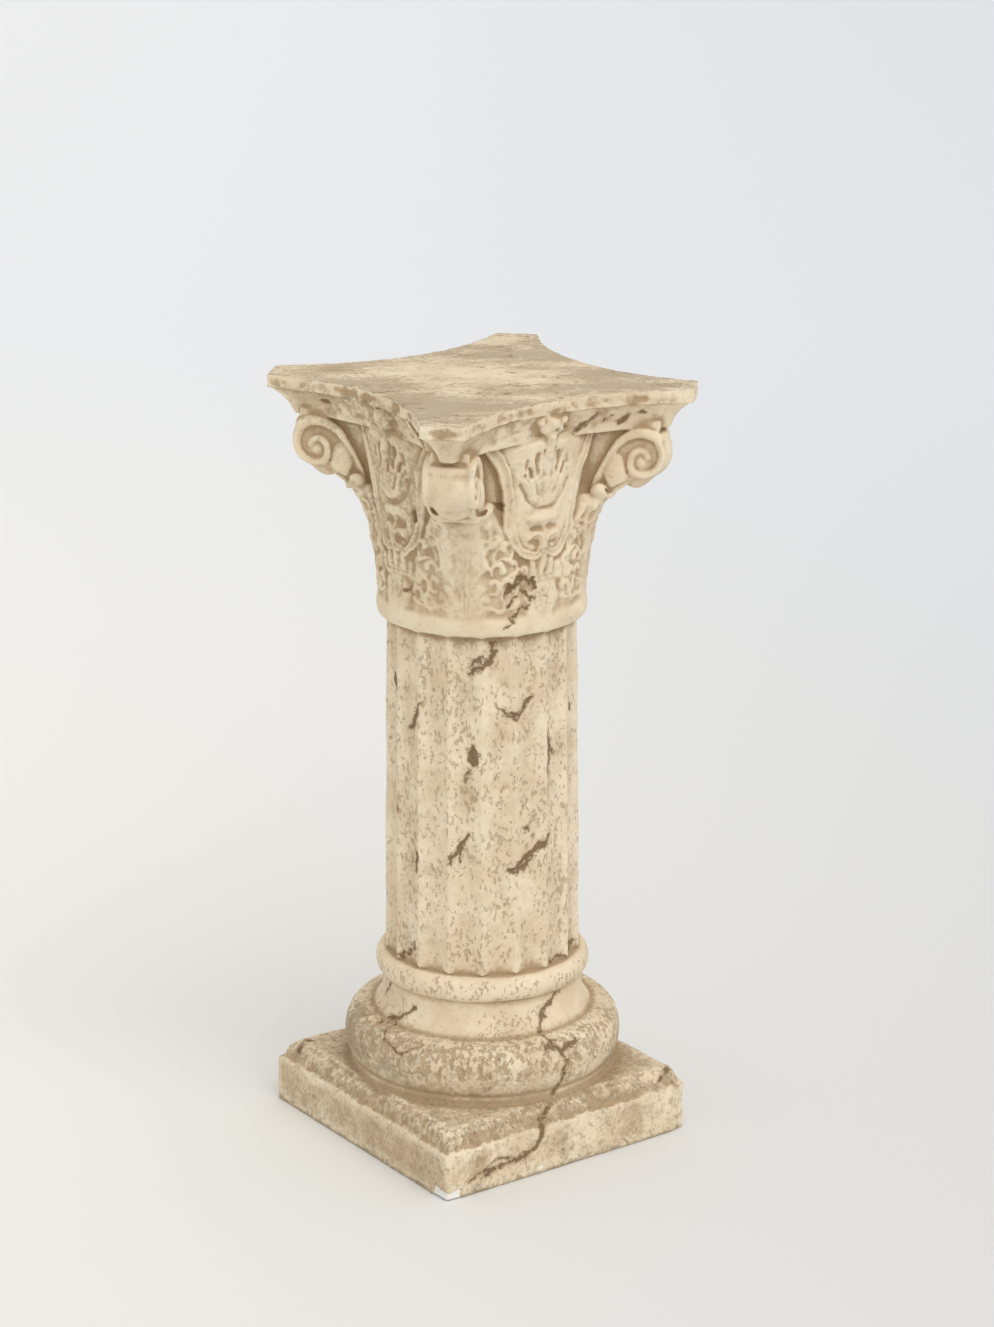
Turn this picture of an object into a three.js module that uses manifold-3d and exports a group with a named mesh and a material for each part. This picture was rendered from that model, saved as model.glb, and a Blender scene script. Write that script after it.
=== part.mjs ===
// Pedestal in the form of a short Corinthian column, cast in one piece.
// Millimetres, +Z up. The origin is the middle of the underside.
// Angles go round the axis from -Y towards +X, so the face turned to -Y is at angle 0.

import * as THREE from 'three';
import Module from 'manifold-3d';

const wasm = await Module();
wasm.setup();

// Plinth: a square slab with a worn bevel round its top
const PLINTH_WIDTH = 298;
const PLINTH_SIDE_HEIGHT = 50;
const PLINTH_BEVEL_RISE = 16;
const PLINTH_BEVEL_INSET = 13;

// Base mouldings, from the plinth up
const FILLET_RADIUS = 131.5;
const FILLET_HEIGHT = 7.5;
const TORUS_RADIUS = 137.8;
const TORUS_HEIGHT = 53;
const NECK_FOOT_RADIUS = 107.6;
const NECK_TOP_RADIUS = 97.4;
const NECK_HEIGHT = 34;
const LOWER_RING_RADIUS = 106;
const LOWER_RING_HEIGHT = 26.5;

// Shaft: round, slightly tapered, with broad shallow flutes
const SHAFT_FOOT_RADIUS = 97.8;
const SHAFT_TOP_RADIUS = 94;
const SHAFT_HEIGHT = 344;
const FLUTE_COUNT = 18;
const FLUTE_DEPTH = 5.5;
const FLUTE_PHASE = THREE.MathUtils.degToRad(5);
const UPPER_RING_RADIUS = 102.4;
const UPPER_RING_HEIGHT = 24;

// Bell of the capital, from the upper ring to the underside of the abacus
const BELL_FOOT_RADIUS = 98;
const BELL_LIP_RADIUS = 112;
const BELL_HEIGHT = 167;

// Abacus: four hollow sides, four blunt horns, a cavetto below a plain band
const ABACUS_SIDE = 120;
const ABACUS_HORN_REACH = 206;
const ABACUS_HORN_WIDTH = 44;
const ABACUS_BAND_HEIGHT = 13;
const ABACUS_STEP = 4;
const CAVETTO_HEIGHT = 27;
const CAVETTO_SIDE_INSET = 12;
const CAVETTO_HORN_INSET = 24;
const CAVETTO_HORN_WIDTH = 19;

// Volutes: a cushion between two spiral ribbons under each horn
const VOLUTE_REACH = 156;
const VOLUTE_DROP = 28;
const VOLUTE_RADIUS = 27;
const VOLUTE_CUSHION_WIDTH = 43;
const VOLUTE_WIDTH = 60;
const VOLUTE_TURNS = 1.6;
const RIBBON_WIDTH = 8;
const WEB_WIDTH = 36;

// Carving in relief on the bell: widths across a stroke and heights above the bell
const LYRE_WIDTH = 13;
const LYRE_HEIGHT = 6;
const CURL_WIDTH = 6.5;
const CURL_HEIGHT = 5.5;
const PALMETTE_WIDTH = 10;
const PALMETTE_HEIGHT = 6;
const LOBE_WIDTH = 15;
const LOBE_HEIGHT = 7;
const LOW_LEAF_WIDTH = 12;
const LOW_LEAF_HEIGHT = 5;
const CORNER_LEAF_WIDTH = 36;
const CORNER_LEAF_REACH = 36;
const LEAF_THICKNESS = 7;
const FLEURON_RADIUS = 15;
const FLEURON_REACH = 6;

// How far a joined form runs into the one that carries it
const BITE = 6;
const ROUND_STEPS = 36;

const TAU = 2 * Math.PI;
const QUARTER = Math.PI / 2;
const FACE_ANGLES = [0, 1, 2, 3].map((k) => k * QUARTER);
const CORNER_ANGLES = FACE_ANGLES.map((angle) => angle + QUARTER / 2);

// Levels, each standing on the one below
const FILLET_Z = PLINTH_SIDE_HEIGHT + PLINTH_BEVEL_RISE;
const TORUS_Z = FILLET_Z + FILLET_HEIGHT;
const NECK_Z = TORUS_Z + TORUS_HEIGHT;
const LOWER_RING_Z = NECK_Z + NECK_HEIGHT;
const SHAFT_Z = LOWER_RING_Z + LOWER_RING_HEIGHT;
const UPPER_RING_Z = SHAFT_Z + SHAFT_HEIGHT;
const BELL_Z = UPPER_RING_Z + UPPER_RING_HEIGHT;
const ABACUS_Z = BELL_Z + BELL_HEIGHT;
const BAND_Z = ABACUS_Z + CAVETTO_HEIGHT;
const TOP_Z = BAND_Z + ABACUS_BAND_HEIGHT;

// A point at an angle round the axis, a distance from it and a height
function polar(angle, radius, z) {
  return new THREE.Vector3(radius * Math.sin(angle), -radius * Math.cos(angle), z);
}

// One closed solid through a stack of outlines that have the same number of points
function loft(rings) {
  const count = rings[0].length;
  const points = rings.flat();
  const faces = [];
  for (let level = 0; level + 1 < rings.length; level++) {
    for (let k = 0; k < count; k++) {
      const a = level * count + k;
      const b = level * count + ((k + 1) % count);
      faces.push([a, b, b + count], [a, b + count, a + count]);
    }
  }
  const closeEnd = (ring, start, flip) => {
    const middle = new THREE.Vector3();
    ring.forEach((point) => middle.addScaledVector(point, 1 / count));
    const hub = count > 4 ? points.push(middle) - 1 : start;
    for (let k = 0; k < count; k++) {
      const a = start + k;
      const b = start + ((k + 1) % count);
      if (a !== hub && b !== hub) {
        faces.push(flip ? [b, a, hub] : [a, b, hub]);
      }
    }
  };
  closeEnd(rings[0], 0, true);
  closeEnd(rings.at(-1), (rings.length - 1) * count, false);
  return solid(points, faces);
}

// Turns points and faces into a manifold solid whose faces point out
function solid(points, faces) {
  const triple = new THREE.Vector3();
  const volume = faces.reduce((sum, [a, b, c]) => {
    return sum + points[a].dot(triple.crossVectors(points[b], points[c]));
  }, 0);
  const outward = volume > 0 ? faces : faces.map(([a, b, c]) => [a, c, b]);
  return new wasm.Manifold(new wasm.Mesh({
    numProp: 3,
    vertProperties: new Float32Array(points.flatMap((point) => point.toArray())),
    triVerts: new Uint32Array(outward.flat()),
  }));
}

function union(solids) {
  return solids.reduce((whole, piece) => whole.add(piece));
}

// A turned solid through [radius, z] pairs, from the bottom up
function turned(profile, steps = ROUND_STEPS) {
  return loft(profile.map(([radius, z]) => {
    return Array.from({ length: steps }, (_, k) => polar((k / steps) * TAU, radius, z));
  }));
}

// A half-round moulding from z up, bulging from the radii of its edges to its own
function halfRound(foot, bulge, top, z, height, steps = 3) {
  return Array.from({ length: steps + 1 }, (_, k) => {
    const share = k / steps;
    const swell = Math.sin(share * Math.PI) ** 0.7;
    const edge = THREE.MathUtils.lerp(foot, top, share);
    return [edge + (bulge - (foot + top) / 2) * swell, z + height * share];
  });
}

function plinth() {
  const square = (half, z) => {
    const corners = [[-1, -1], [1, -1], [1, 1], [-1, 1]];
    return corners.map(([x, y]) => new THREE.Vector3(x * half, y * half, z));
  };
  const half = PLINTH_WIDTH / 2;
  return loft([
    square(half, 0),
    square(half, PLINTH_SIDE_HEIGHT),
    square(half - PLINTH_BEVEL_INSET, FILLET_Z),
  ]);
}

// Fillet, torus, hollow neck and lower ring, turned in one
function baseMouldings() {
  const bulge = TORUS_RADIUS - NECK_FOOT_RADIUS;
  const torus = [-50, -12, 24, 58, 84].map((degrees) => {
    const turn = THREE.MathUtils.degToRad(degrees);
    const rise = (1 + Math.sin(turn)) / 2;
    return [NECK_FOOT_RADIUS + bulge * Math.cos(turn) ** 0.75, TORUS_Z + TORUS_HEIGHT * rise];
  });
  const neck = [0, 0.4, 1].map((share) => {
    const flare = (1 - share) ** 2.2;
    const radius = NECK_TOP_RADIUS + (NECK_FOOT_RADIUS - NECK_TOP_RADIUS) * flare;
    return [radius, NECK_Z + NECK_HEIGHT * share];
  });
  const ring = halfRound(
    NECK_TOP_RADIUS + 1, LOWER_RING_RADIUS, SHAFT_FOOT_RADIUS, LOWER_RING_Z, LOWER_RING_HEIGHT);
  return turned([
    [FILLET_RADIUS, FILLET_Z - BITE],
    [FILLET_RADIUS, TORUS_Z],
    ...torus,
    ...neck,
    ...ring,
  ]);
}

// Sharp arrises with a shallow hollow between each two
function shaft() {
  const stepsPerFlute = 3;
  const steps = FLUTE_COUNT * stepsPerFlute;
  const outline = (radius, z) => Array.from({ length: steps }, (_, k) => {
    const across = (k % stepsPerFlute) / stepsPerFlute;
    const hollow = 1 - (2 * across - 1) ** 2;
    return polar(FLUTE_PHASE + (k / steps) * TAU, radius - FLUTE_DEPTH * hollow, z);
  });
  return loft([
    outline(SHAFT_FOOT_RADIUS, SHAFT_Z - BITE),
    outline(SHAFT_TOP_RADIUS, UPPER_RING_Z + BITE),
  ]);
}

function upperRing() {
  return turned([
    [SHAFT_TOP_RADIUS - FLUTE_DEPTH, UPPER_RING_Z - BITE],
    ...halfRound(SHAFT_TOP_RADIUS + 2, UPPER_RING_RADIUS, BELL_FOOT_RADIUS + 2,
      UPPER_RING_Z, UPPER_RING_HEIGHT),
    [BELL_FOOT_RADIUS, BELL_Z + BITE],
  ]);
}

// The bell flares towards the abacus
function bellRadius(share) {
  return BELL_FOOT_RADIUS + (BELL_LIP_RADIUS - BELL_FOOT_RADIUS) * Math.max(share, 0) ** 2;
}

function bell() {
  const shares = [0.6];
  return turned([
    [bellRadius(0), BELL_Z - BITE],
    ...shares.map((share) => [bellRadius(share), BELL_Z + BELL_HEIGHT * share]),
    [bellRadius(1), ABACUS_Z + BITE],
  ]);
}

// The outline of the abacus: each side is an arc that bends in towards the axis
function abacusOutline(side, hornReach, hornWidth, z) {
  const across = (hornReach - hornWidth / 2) * Math.SQRT1_2;
  const out = (hornReach + hornWidth / 2) * Math.SQRT1_2;
  const sagitta = out - side;
  const arcRadius = (across ** 2 + sagitta ** 2) / (2 * sagitta);
  const arcAngle = Math.asin(across / arcRadius);
  const steps = 6;
  return FACE_ANGLES.flatMap((face) => Array.from({ length: steps + 1 }, (_, k) => {
    const turn = arcAngle * ((2 * k) / steps - 1);
    const x = arcRadius * Math.sin(turn);
    const y = side + arcRadius * (1 - Math.cos(turn));
    return polar(face + Math.atan2(x, y), Math.hypot(x, y), z);
  }));
}

function abacus() {
  const cavetto = [0, 0.5, 1].map((share) => {
    const inset = 1 - share ** 1.4;
    return abacusOutline(
      ABACUS_SIDE - ABACUS_STEP - (CAVETTO_SIDE_INSET - ABACUS_STEP) * inset,
      ABACUS_HORN_REACH - ABACUS_STEP - (CAVETTO_HORN_INSET - ABACUS_STEP) * inset,
      ABACUS_HORN_WIDTH - (ABACUS_HORN_WIDTH - CAVETTO_HORN_WIDTH) * inset,
      ABACUS_Z + CAVETTO_HEIGHT * share);
  });
  return loft([
    ...cavetto,
    abacusOutline(ABACUS_SIDE, ABACUS_HORN_REACH, ABACUS_HORN_WIDTH, BAND_Z + 1),
    abacusOutline(ABACUS_SIDE, ABACUS_HORN_REACH, ABACUS_HORN_WIDTH, TOP_Z),
  ]);
}

// Carries a point of a flat drawing onto the bell round a middle angle.
// In the drawing x runs across and y up, both in per cent of a face, and z stands out in mm.
const FACE_WIDTH = BELL_FOOT_RADIUS * QUARTER;
const inMillimetres = ([x, y, z = 0]) => {
  return new THREE.Vector3((x * FACE_WIDTH) / 100, (y * BELL_HEIGHT) / 100, z);
};
const onBell = (middle) => (point) => {
  const radius = bellRadius(point.y / BELL_HEIGHT) + point.z;
  return polar(middle + (point.x / FACE_WIDTH) * QUARTER, radius, BELL_Z + point.y);
};

// Carries a point of an upright drawing through a corner: x out along the corner, y up, z sideways
const onCorner = (corner, hand = 1) => (point) => {
  return polar(corner, point.x, point.y).add(polar(corner + QUARTER, hand * point.z, 0));
};

const smooth = (points, steps) => new THREE.CatmullRomCurve3(points).getSpacedPoints(steps);

// Sections of a ridge: across in half widths, and up in heights where it stands out
const FLAT_TOP = [[-1, 0], [-0.45, 1], [0.45, 1], [1, 0]];
const SHARP_TOP = [[-1, 0], [0, 1], [1, 0]];

// A raised ridge along a path, as wide and as high at each point as the two functions say
function ridge(path, width, height, place, section = FLAT_TOP, across = null) {
  const last = path.length - 1;
  return loft(path.map((point, k) => {
    const along = path[Math.min(k + 1, last)].clone().sub(path[Math.max(k - 1, 0)]).normalize();
    const side = across ?? new THREE.Vector3(along.y, -along.x, 0).normalize();
    const out = new THREE.Vector3().crossVectors(side, along);
    const half = width(k / last) / 2;
    const top = height(k / last);
    return section.map(([x, up]) => {
      const rise = up === 0 ? -BITE : top;
      return place(point.clone().addScaledVector(side, x * half).addScaledVector(out, rise));
    });
  }));
}

const constant = (value) => () => value;
const tapered = (value) => (share) => value * (0.35 + 0.65 * Math.sin(Math.PI * (0.25 + 0.7 * share)));

// A bulging lobe of a leaf from its root to its tip, bent by a middle point
function lobe(root, middle, tip, width, height, place) {
  const path = [root, middle, tip].map(inMillimetres);
  return ridge(path, tapered(width), tapered(height), place, SHARP_TOP);
}

// Two bands that rise from a cusp under the middle of a face to its horns, with a curl in each
function lyre(face) {
  const band = [[0.3, 37], [7.5, 32.5], [15, 34.5], [20.5, 42], [22.8, 54], [23.6, 68], [26, 82], [31, 97]];
  const curl = [[1, 37], [2, 45], [6.5, 49.5], [11, 46], [10, 40.5], [6.5, 41]];
  return [-1, 1].flatMap((hand) => {
    const mirrored = ([x, y]) => inMillimetres([hand * x, y]);
    return [
      ridge(smooth(band.map(mirrored), 7), constant(LYRE_WIDTH), constant(LYRE_HEIGHT), onBell(face)),
      ridge(smooth(curl.map(mirrored), 4), constant(CURL_WIDTH), constant(CURL_HEIGHT), onBell(face), SHARP_TOP),
    ];
  });
}

// Lobes that fan out of a calyx, inside the lyre
function palmette(face) {
  const root = 61;
  const tips = [[0, 95], [7.5, 90], [13, 79]];
  const lobes = tips.flatMap(([x, y], rank) => {
    const hands = rank === 0 ? [1] : [-1, 1];
    return hands.map((hand) => {
      const middle = [hand * x * 0.8, THREE.MathUtils.lerp(root, y, 0.42)];
      const start = [hand * x * 0.25, root];
      return lobe(start, middle, [hand * x, y], PALMETTE_WIDTH, PALMETTE_HEIGHT, onBell(face));
    });
  });
  const calyx = [[-12, 51], [-7, 57], [0, 58.5], [7, 57], [12, 51]].map(inMillimetres);
  const cup = ridge(smooth(calyx, 4), constant(PALMETTE_WIDTH), constant(PALMETTE_HEIGHT), onBell(face));
  return [...lobes, cup];
}

// The short leaf below each lyre
function lowLeaf(face) {
  const tips = [[0, 31], [11, 24]];
  return tips.flatMap(([x, y], rank) => {
    const hands = rank === 0 ? [1] : [-1, 1];
    return hands.map((hand) => {
      const middle = [hand * x * 0.75, y * 0.45];
      return lobe([hand * x * 0.4, -3], middle, [hand * x, y], LOW_LEAF_WIDTH, LOW_LEAF_HEIGHT, onBell(face));
    });
  });
}

// The tall leaf at each corner: a plain middle that curls out under the volute, and lobes beside it
function cornerLeaf(corner) {
  const rise = [[-1, 0.02], [20, 0.1], [38, 0.24], [51, 0.44], [59, 0.7], [61.5, 0.9], [60, 1]];
  const path = rise.map(([up, out]) => inMillimetres([0, up, out * CORNER_LEAF_REACH]));
  const widths = [0.8, 0.82, 0.9, 1.05, 1.15, 1.1, 0.8];
  const width = (share) => CORNER_LEAF_WIDTH * widths[Math.round(share * (widths.length - 1))];
  const across = new THREE.Vector3(1, 0, 0);
  const middle = ridge(path, width, constant(LEAF_THICKNESS / 2), onBell(corner), FLAT_TOP, across);
  const tips = [[14, 66], [21.5, 49], [27.5, 31], [31.5, 13]];
  const lobes = tips.flatMap(([x, y]) => [-1, 1].map((hand) => {
    const root = [hand * 9, Math.max(y - 26, -3)];
    const bend = [hand * (x * 0.72), y - 14];
    return lobe(root, bend, [hand * x, y], LOBE_WIDTH, LOBE_HEIGHT, onBell(corner));
  }));
  return [middle, ...lobes];
}

// A volute hangs under each horn on a web that joins it to the bell
function volute(corner) {
  const middle = ABACUS_Z - VOLUTE_DROP;
  const halfCushion = VOLUTE_CUSHION_WIDTH / 2;
  const cushion = loft([-1, -0.6, 0.6, 1].map((share) => {
    const radius = VOLUTE_RADIUS * (Math.abs(share) === 1 ? 0.6 : 0.96);
    return Array.from({ length: 10 }, (_, k) => {
      const turn = (k / 10) * TAU;
      const x = VOLUTE_REACH + radius * Math.cos(turn);
      const y = middle + radius * Math.sin(turn);
      return onCorner(corner)(new THREE.Vector3(x, y, share * halfCushion));
    });
  }));
  const web = loft([[BELL_FOOT_RADIUS - BITE, 0.45], [VOLUTE_REACH, 0.72]].map(([x, foot]) => {
    const section = [[-1, foot], [1, foot], [1, 1], [-1, 1]];
    return section.map(([side, share]) => {
      const y = share === 1 ? ABACUS_Z + BITE : BELL_Z + BELL_HEIGHT * share;
      return onCorner(corner)(new THREE.Vector3(x, y, (side * WEB_WIDTH) / 2));
    });
  }));
  const ribbons = [-1, 1].map((hand) => {
    const turns = 9;
    const stalk = [bellRadius(0.5), BELL_Z + BELL_HEIGHT * 0.55];
    const spiral = Array.from({ length: turns + 1 }, (_, k) => {
      const share = k / turns;
      const turn = Math.PI - share * VOLUTE_TURNS * TAU;
      const radius = (VOLUTE_RADIUS - RIBBON_WIDTH / 2) * (1 - 0.78 * share);
      return [VOLUTE_REACH + radius * Math.cos(turn), middle + radius * Math.sin(turn)];
    });
    const path = [stalk, ...spiral].map(([x, y]) => new THREE.Vector3(x, y, halfCushion - BITE));
    const depth = VOLUTE_WIDTH / 2 - halfCushion + BITE;
    return ridge(path, constant(RIBBON_WIDTH), constant(depth), onCorner(corner, hand));
  });
  return [cushion, web, ...ribbons];
}

// A worn flower in the middle of each side of the abacus
function fleuron(face) {
  const middle = (ABACUS_Z + TOP_Z) / 2 - BITE;
  const petals = 4;
  const stations = [[-2 * BITE, 1], [FLEURON_REACH, 0.6]];
  return loft(stations.map(([out, scale]) => Array.from({ length: petals * 2 }, (_, k) => {
    const radius = FLEURON_RADIUS * scale * (k % 2 === 0 ? 1 : 0.72);
    const turn = (k / (petals * 2)) * TAU;
    const foot = polar(face, ABACUS_SIDE + out, middle + radius * Math.cos(turn));
    return foot.add(polar(face + QUARTER, radius * Math.sin(turn), 0));
  })));
}

// Gives a solid back as a shaded mesh
function meshOf(whole, name, material) {
  const { vertProperties, triVerts } = whole.getMesh();
  const geometry = new THREE.BufferGeometry();
  geometry.setAttribute('position', new THREE.BufferAttribute(vertProperties, 3));
  geometry.setIndex(new THREE.BufferAttribute(triVerts, 1));
  geometry.computeVertexNormals();
  const mesh = new THREE.Mesh(geometry, material);
  mesh.name = name;
  return mesh;
}

const castStone = new THREE.MeshStandardMaterial({ color: 0xd9c8a4, roughness: 0.85, metalness: 0 });

const column = union([
  plinth(),
  baseMouldings(),
  shaft(),
  upperRing(),
  bell(),
  abacus(),
  ...FACE_ANGLES.flatMap((face) => [...lyre(face), ...palmette(face), ...lowLeaf(face), fleuron(face)]),
  ...CORNER_ANGLES.flatMap((corner) => [...cornerLeaf(corner), ...volute(corner)]),
]);

const pedestal = new THREE.Group();
pedestal.add(meshOf(column, 'column', castStone));

export default pedestal;
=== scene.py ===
"""A short Corinthian column in cast stone, dressed and set up for its portrait.

Shapes are worked out in millimetres and handed to Blender in metres.
Angles are in degrees and go round the axis from -Y towards +X, so the right-hand
face in the portrait has its middle at 0 and the nearest corner is at -45.
"""

import logging
import math
from collections.abc import Sequence
from dataclasses import dataclass, field
from enum import Enum

import bpy
import numpy as np
from mathutils import Matrix, Vector

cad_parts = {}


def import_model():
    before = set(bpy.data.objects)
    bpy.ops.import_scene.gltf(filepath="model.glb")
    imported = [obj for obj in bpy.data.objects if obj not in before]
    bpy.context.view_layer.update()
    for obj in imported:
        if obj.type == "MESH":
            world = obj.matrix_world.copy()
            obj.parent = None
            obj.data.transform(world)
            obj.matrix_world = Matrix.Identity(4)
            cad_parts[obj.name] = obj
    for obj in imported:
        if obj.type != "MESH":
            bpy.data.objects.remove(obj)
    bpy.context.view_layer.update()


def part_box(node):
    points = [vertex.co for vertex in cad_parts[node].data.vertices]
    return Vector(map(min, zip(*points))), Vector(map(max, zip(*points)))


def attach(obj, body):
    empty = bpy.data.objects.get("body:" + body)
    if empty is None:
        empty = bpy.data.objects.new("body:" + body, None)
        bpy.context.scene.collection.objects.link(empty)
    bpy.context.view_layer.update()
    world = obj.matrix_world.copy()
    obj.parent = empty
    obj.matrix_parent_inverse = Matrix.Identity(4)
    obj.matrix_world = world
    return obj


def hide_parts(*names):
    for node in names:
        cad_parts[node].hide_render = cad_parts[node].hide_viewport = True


LOG = logging.getLogger("column")
MM = 0.001
DEGREE = math.radians(1.0)

Array = np.ndarray
Path = Sequence[tuple[float, float]]
Colour = tuple[float, float, float]
Socket = bpy.types.NodeSocket


def smooth_step(value: Array, low: float, high: float) -> Array:
    """Eases from 0 at low to 1 at high.

    Args:
        value: what is eased.
        low: the value that gives 0.
        high: the value that gives 1.

    Returns:
        The eased share, as large as value.
    """
    share = np.clip((value - low) / (high - low), 0.0, 1.0)
    return share * share * (3.0 - 2.0 * share)


def fade(value: Array, full: float, end: float) -> Array:
    """Eases from 1 at full down to 0 at end; takes and returns what smooth_step does."""
    return smooth_step(-value, -end, -full)


def band(value: Array, start: float, full: float, last: float, end: float) -> Array:
    """Eases in and out again.

    Args:
        value: what is eased.
        start: the value where the share leaves 0.
        full: the value from which the share is 1.
        last: the value up to which it is 1.
        end: the value where it is 0 again.

    Returns:
        The eased share, as large as value.
    """
    return smooth_step(value, start, full) * fade(value, last, end)


def join(one: Array, other: Array, blend: float) -> Array:
    """Unites two distance fields with a fillet.

    Args:
        one: distances to the first form, negative inside.
        other: distances to the second form.
        blend: size of the fillet in mm.

    Returns:
        Distances to both together.
    """
    share = np.clip(0.5 + 0.5 * (other - one) / blend, 0.0, 1.0)
    return other + (one - other) * share - blend * share * (1.0 - share)


def meet(one: Array, other: Array, blend: float) -> Array:
    """What two forms share, with a rounded edge; takes and returns what join does."""
    return -join(-one, -other, blend)


def curve(points: Path, steps: int = 8) -> Array:
    """Runs a smooth curve through points.

    Args:
        points: what the curve passes through.
        steps: pieces between two neighbours.

    Returns:
        The curve's points, one a row.
    """
    knots = np.array(points, float)
    knots = np.vstack([2 * knots[0] - knots[1], knots, 2 * knots[-1] - knots[-2]])
    share = np.linspace(0.0, 1.0, steps, endpoint=False)[:, None]
    pieces = []
    for a, b, c, d in zip(knots, knots[1:], knots[2:], knots[3:]):
        pieces.append(
            0.5 * (2 * b + (c - a) * share + (2 * a - 5 * b + 4 * c - d) * share**2
                   + (3 * b - a - 3 * c + d) * share**3))
    return np.vstack([*pieces, knots[-2][None]])


def line_distance(x: Array, y: Array, line: Array) -> tuple[Array, Array]:
    """Measures to an open line in the plane.

    Args:
        x: first coordinates of the points measured from.
        y: second coordinates of the same points.
        line: the line's points, one a row.

    Returns:
        The distance, and how far along the line it is met, from 0 to 1.
    """
    best = np.full(x.shape, 1e9)
    along = np.zeros(x.shape)
    count = len(line) - 1
    for k in range(count):
        start, step = line[k], line[k + 1] - line[k]
        share = ((x - start[0]) * step[0] + (y - start[1]) * step[1]) / max(step @ step, 1e-9)
        share = np.clip(share, 0.0, 1.0)
        gap = (x - start[0] - share * step[0]) ** 2 + (y - start[1] - share * step[1]) ** 2
        closer = gap < best
        best = np.where(closer, gap, best)
        along = np.where(closer, (k + share) / count, along)
    return np.sqrt(best), along


def outline_distance(x: Array, y: Array, outline: Array) -> Array:
    """Measures to a closed outline in the plane.

    Args:
        x: first coordinates of the points measured from.
        y: second coordinates of the same points.
        outline: the corners in order, one a row.

    Returns:
        The distance, negative inside.
    """
    closed = np.vstack([outline, outline[:1]])
    gap, _ = line_distance(x, y, closed)
    inside = np.zeros(x.shape, bool)
    for (ax, ay), (bx, by) in zip(closed, closed[1:]):
        spans = (ay > y) != (by > y)
        if ay != by:
            inside ^= spans & (x < (bx - ax) * (y - ay) / (by - ay) + ax)
    return np.where(inside, -gap, gap)


def sheet_row(sheet: Array, place: float) -> Array:
    """Reads a sheet of values between two of its rows.

    Args:
        sheet: the values.
        place: the row's number, with its part.

    Returns:
        The values along that row.
    """
    place = min(max(place, 0.0), len(sheet) - 2.0)
    low = int(place)
    part = place - low
    return sheet[low] * (1.0 - part) + sheet[low + 1] * part


def neighbours(axis: int, ahead: slice, behind: slice) -> tuple[tuple[slice, ...], tuple[slice, ...]]:
    """Makes the two cuts of a solid block that lay each cell beside the next.

    Args:
        axis: the direction in which they lie.
        ahead: which cells come first in the pairs.
        behind: which cells come second.

    Returns:
        An index for the first of each pair and one for the second.
    """
    whole = slice(None)
    return (tuple(ahead if k == axis else whole for k in range(3)),
            tuple(behind if k == axis else whole for k in range(3)))


class Noise:
    """Smooth random values in space, the same on each run."""

    SIDE = 32

    def __init__(self, seed: int) -> None:
        """Fills the lattice.

        Args:
            seed: picks the pattern.
        """
        self.lattice = np.random.default_rng(seed).random((self.SIDE,) * 3).astype(np.float32)

    def at(self, points: Array, size: float) -> Array:
        """Reads the noise.

        Args:
            points: places in mm, one a row.
            size: length of its waves in mm.

        Returns:
            A value from -1 to 1 for each place.
        """
        place = points / size
        low = np.floor(place)
        part = place - low
        part = part * part * (3.0 - 2.0 * part)
        low = low.astype(int) % self.SIDE
        high = (low + 1) % self.SIDE
        value = np.zeros(len(points))
        for corner in range(8):
            pick = [(corner >> axis) & 1 for axis in range(3)]
            index = tuple(np.where(pick[axis], high[:, axis], low[:, axis]) for axis in range(3))
            weight = np.ones(len(points))
            for axis in range(3):
                weight = weight * (part[:, axis] if pick[axis] else 1.0 - part[:, axis])
            value += weight * self.lattice[index]
        return 2.0 * value - 1.0

    def layered(self, points: Array, size: float, layers: int = 3) -> Array:
        """Adds finer waves to coarse ones.

        Args:
            points: places in mm, one a row.
            size: length of the longest waves in mm.
            layers: how many sizes of wave, each half the last.

        Returns:
            A value from about -1 to 1 for each place.
        """
        total = np.zeros(len(points))
        for layer in range(layers):
            total += self.at(points + 37.0 * layer, size / 2**layer) / 2**layer
        return total / 1.6


class Section(Enum):
    """How a carved stroke is shaped across."""

    ROUND = "round"
    BAND = "band"
    SOFT = "soft"

    def height(self, across: Array) -> Array:
        """Gives the stroke's height.

        Args:
            across: distance from the stroke's middle in half widths.

        Returns:
            The share of the full height, 0 outside the stroke.
        """
        inside = np.clip(1.0 - across**2, 0.0, 1.0)
        if self is Section.BAND:
            rim = np.exp(-(((across - 0.68) / 0.24) ** 2))
            return np.minimum(inside**0.5 * 1.5, 1.0) * (0.62 + 0.42 * rim)
        if self is Section.SOFT:
            return inside
        return inside**0.5


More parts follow.
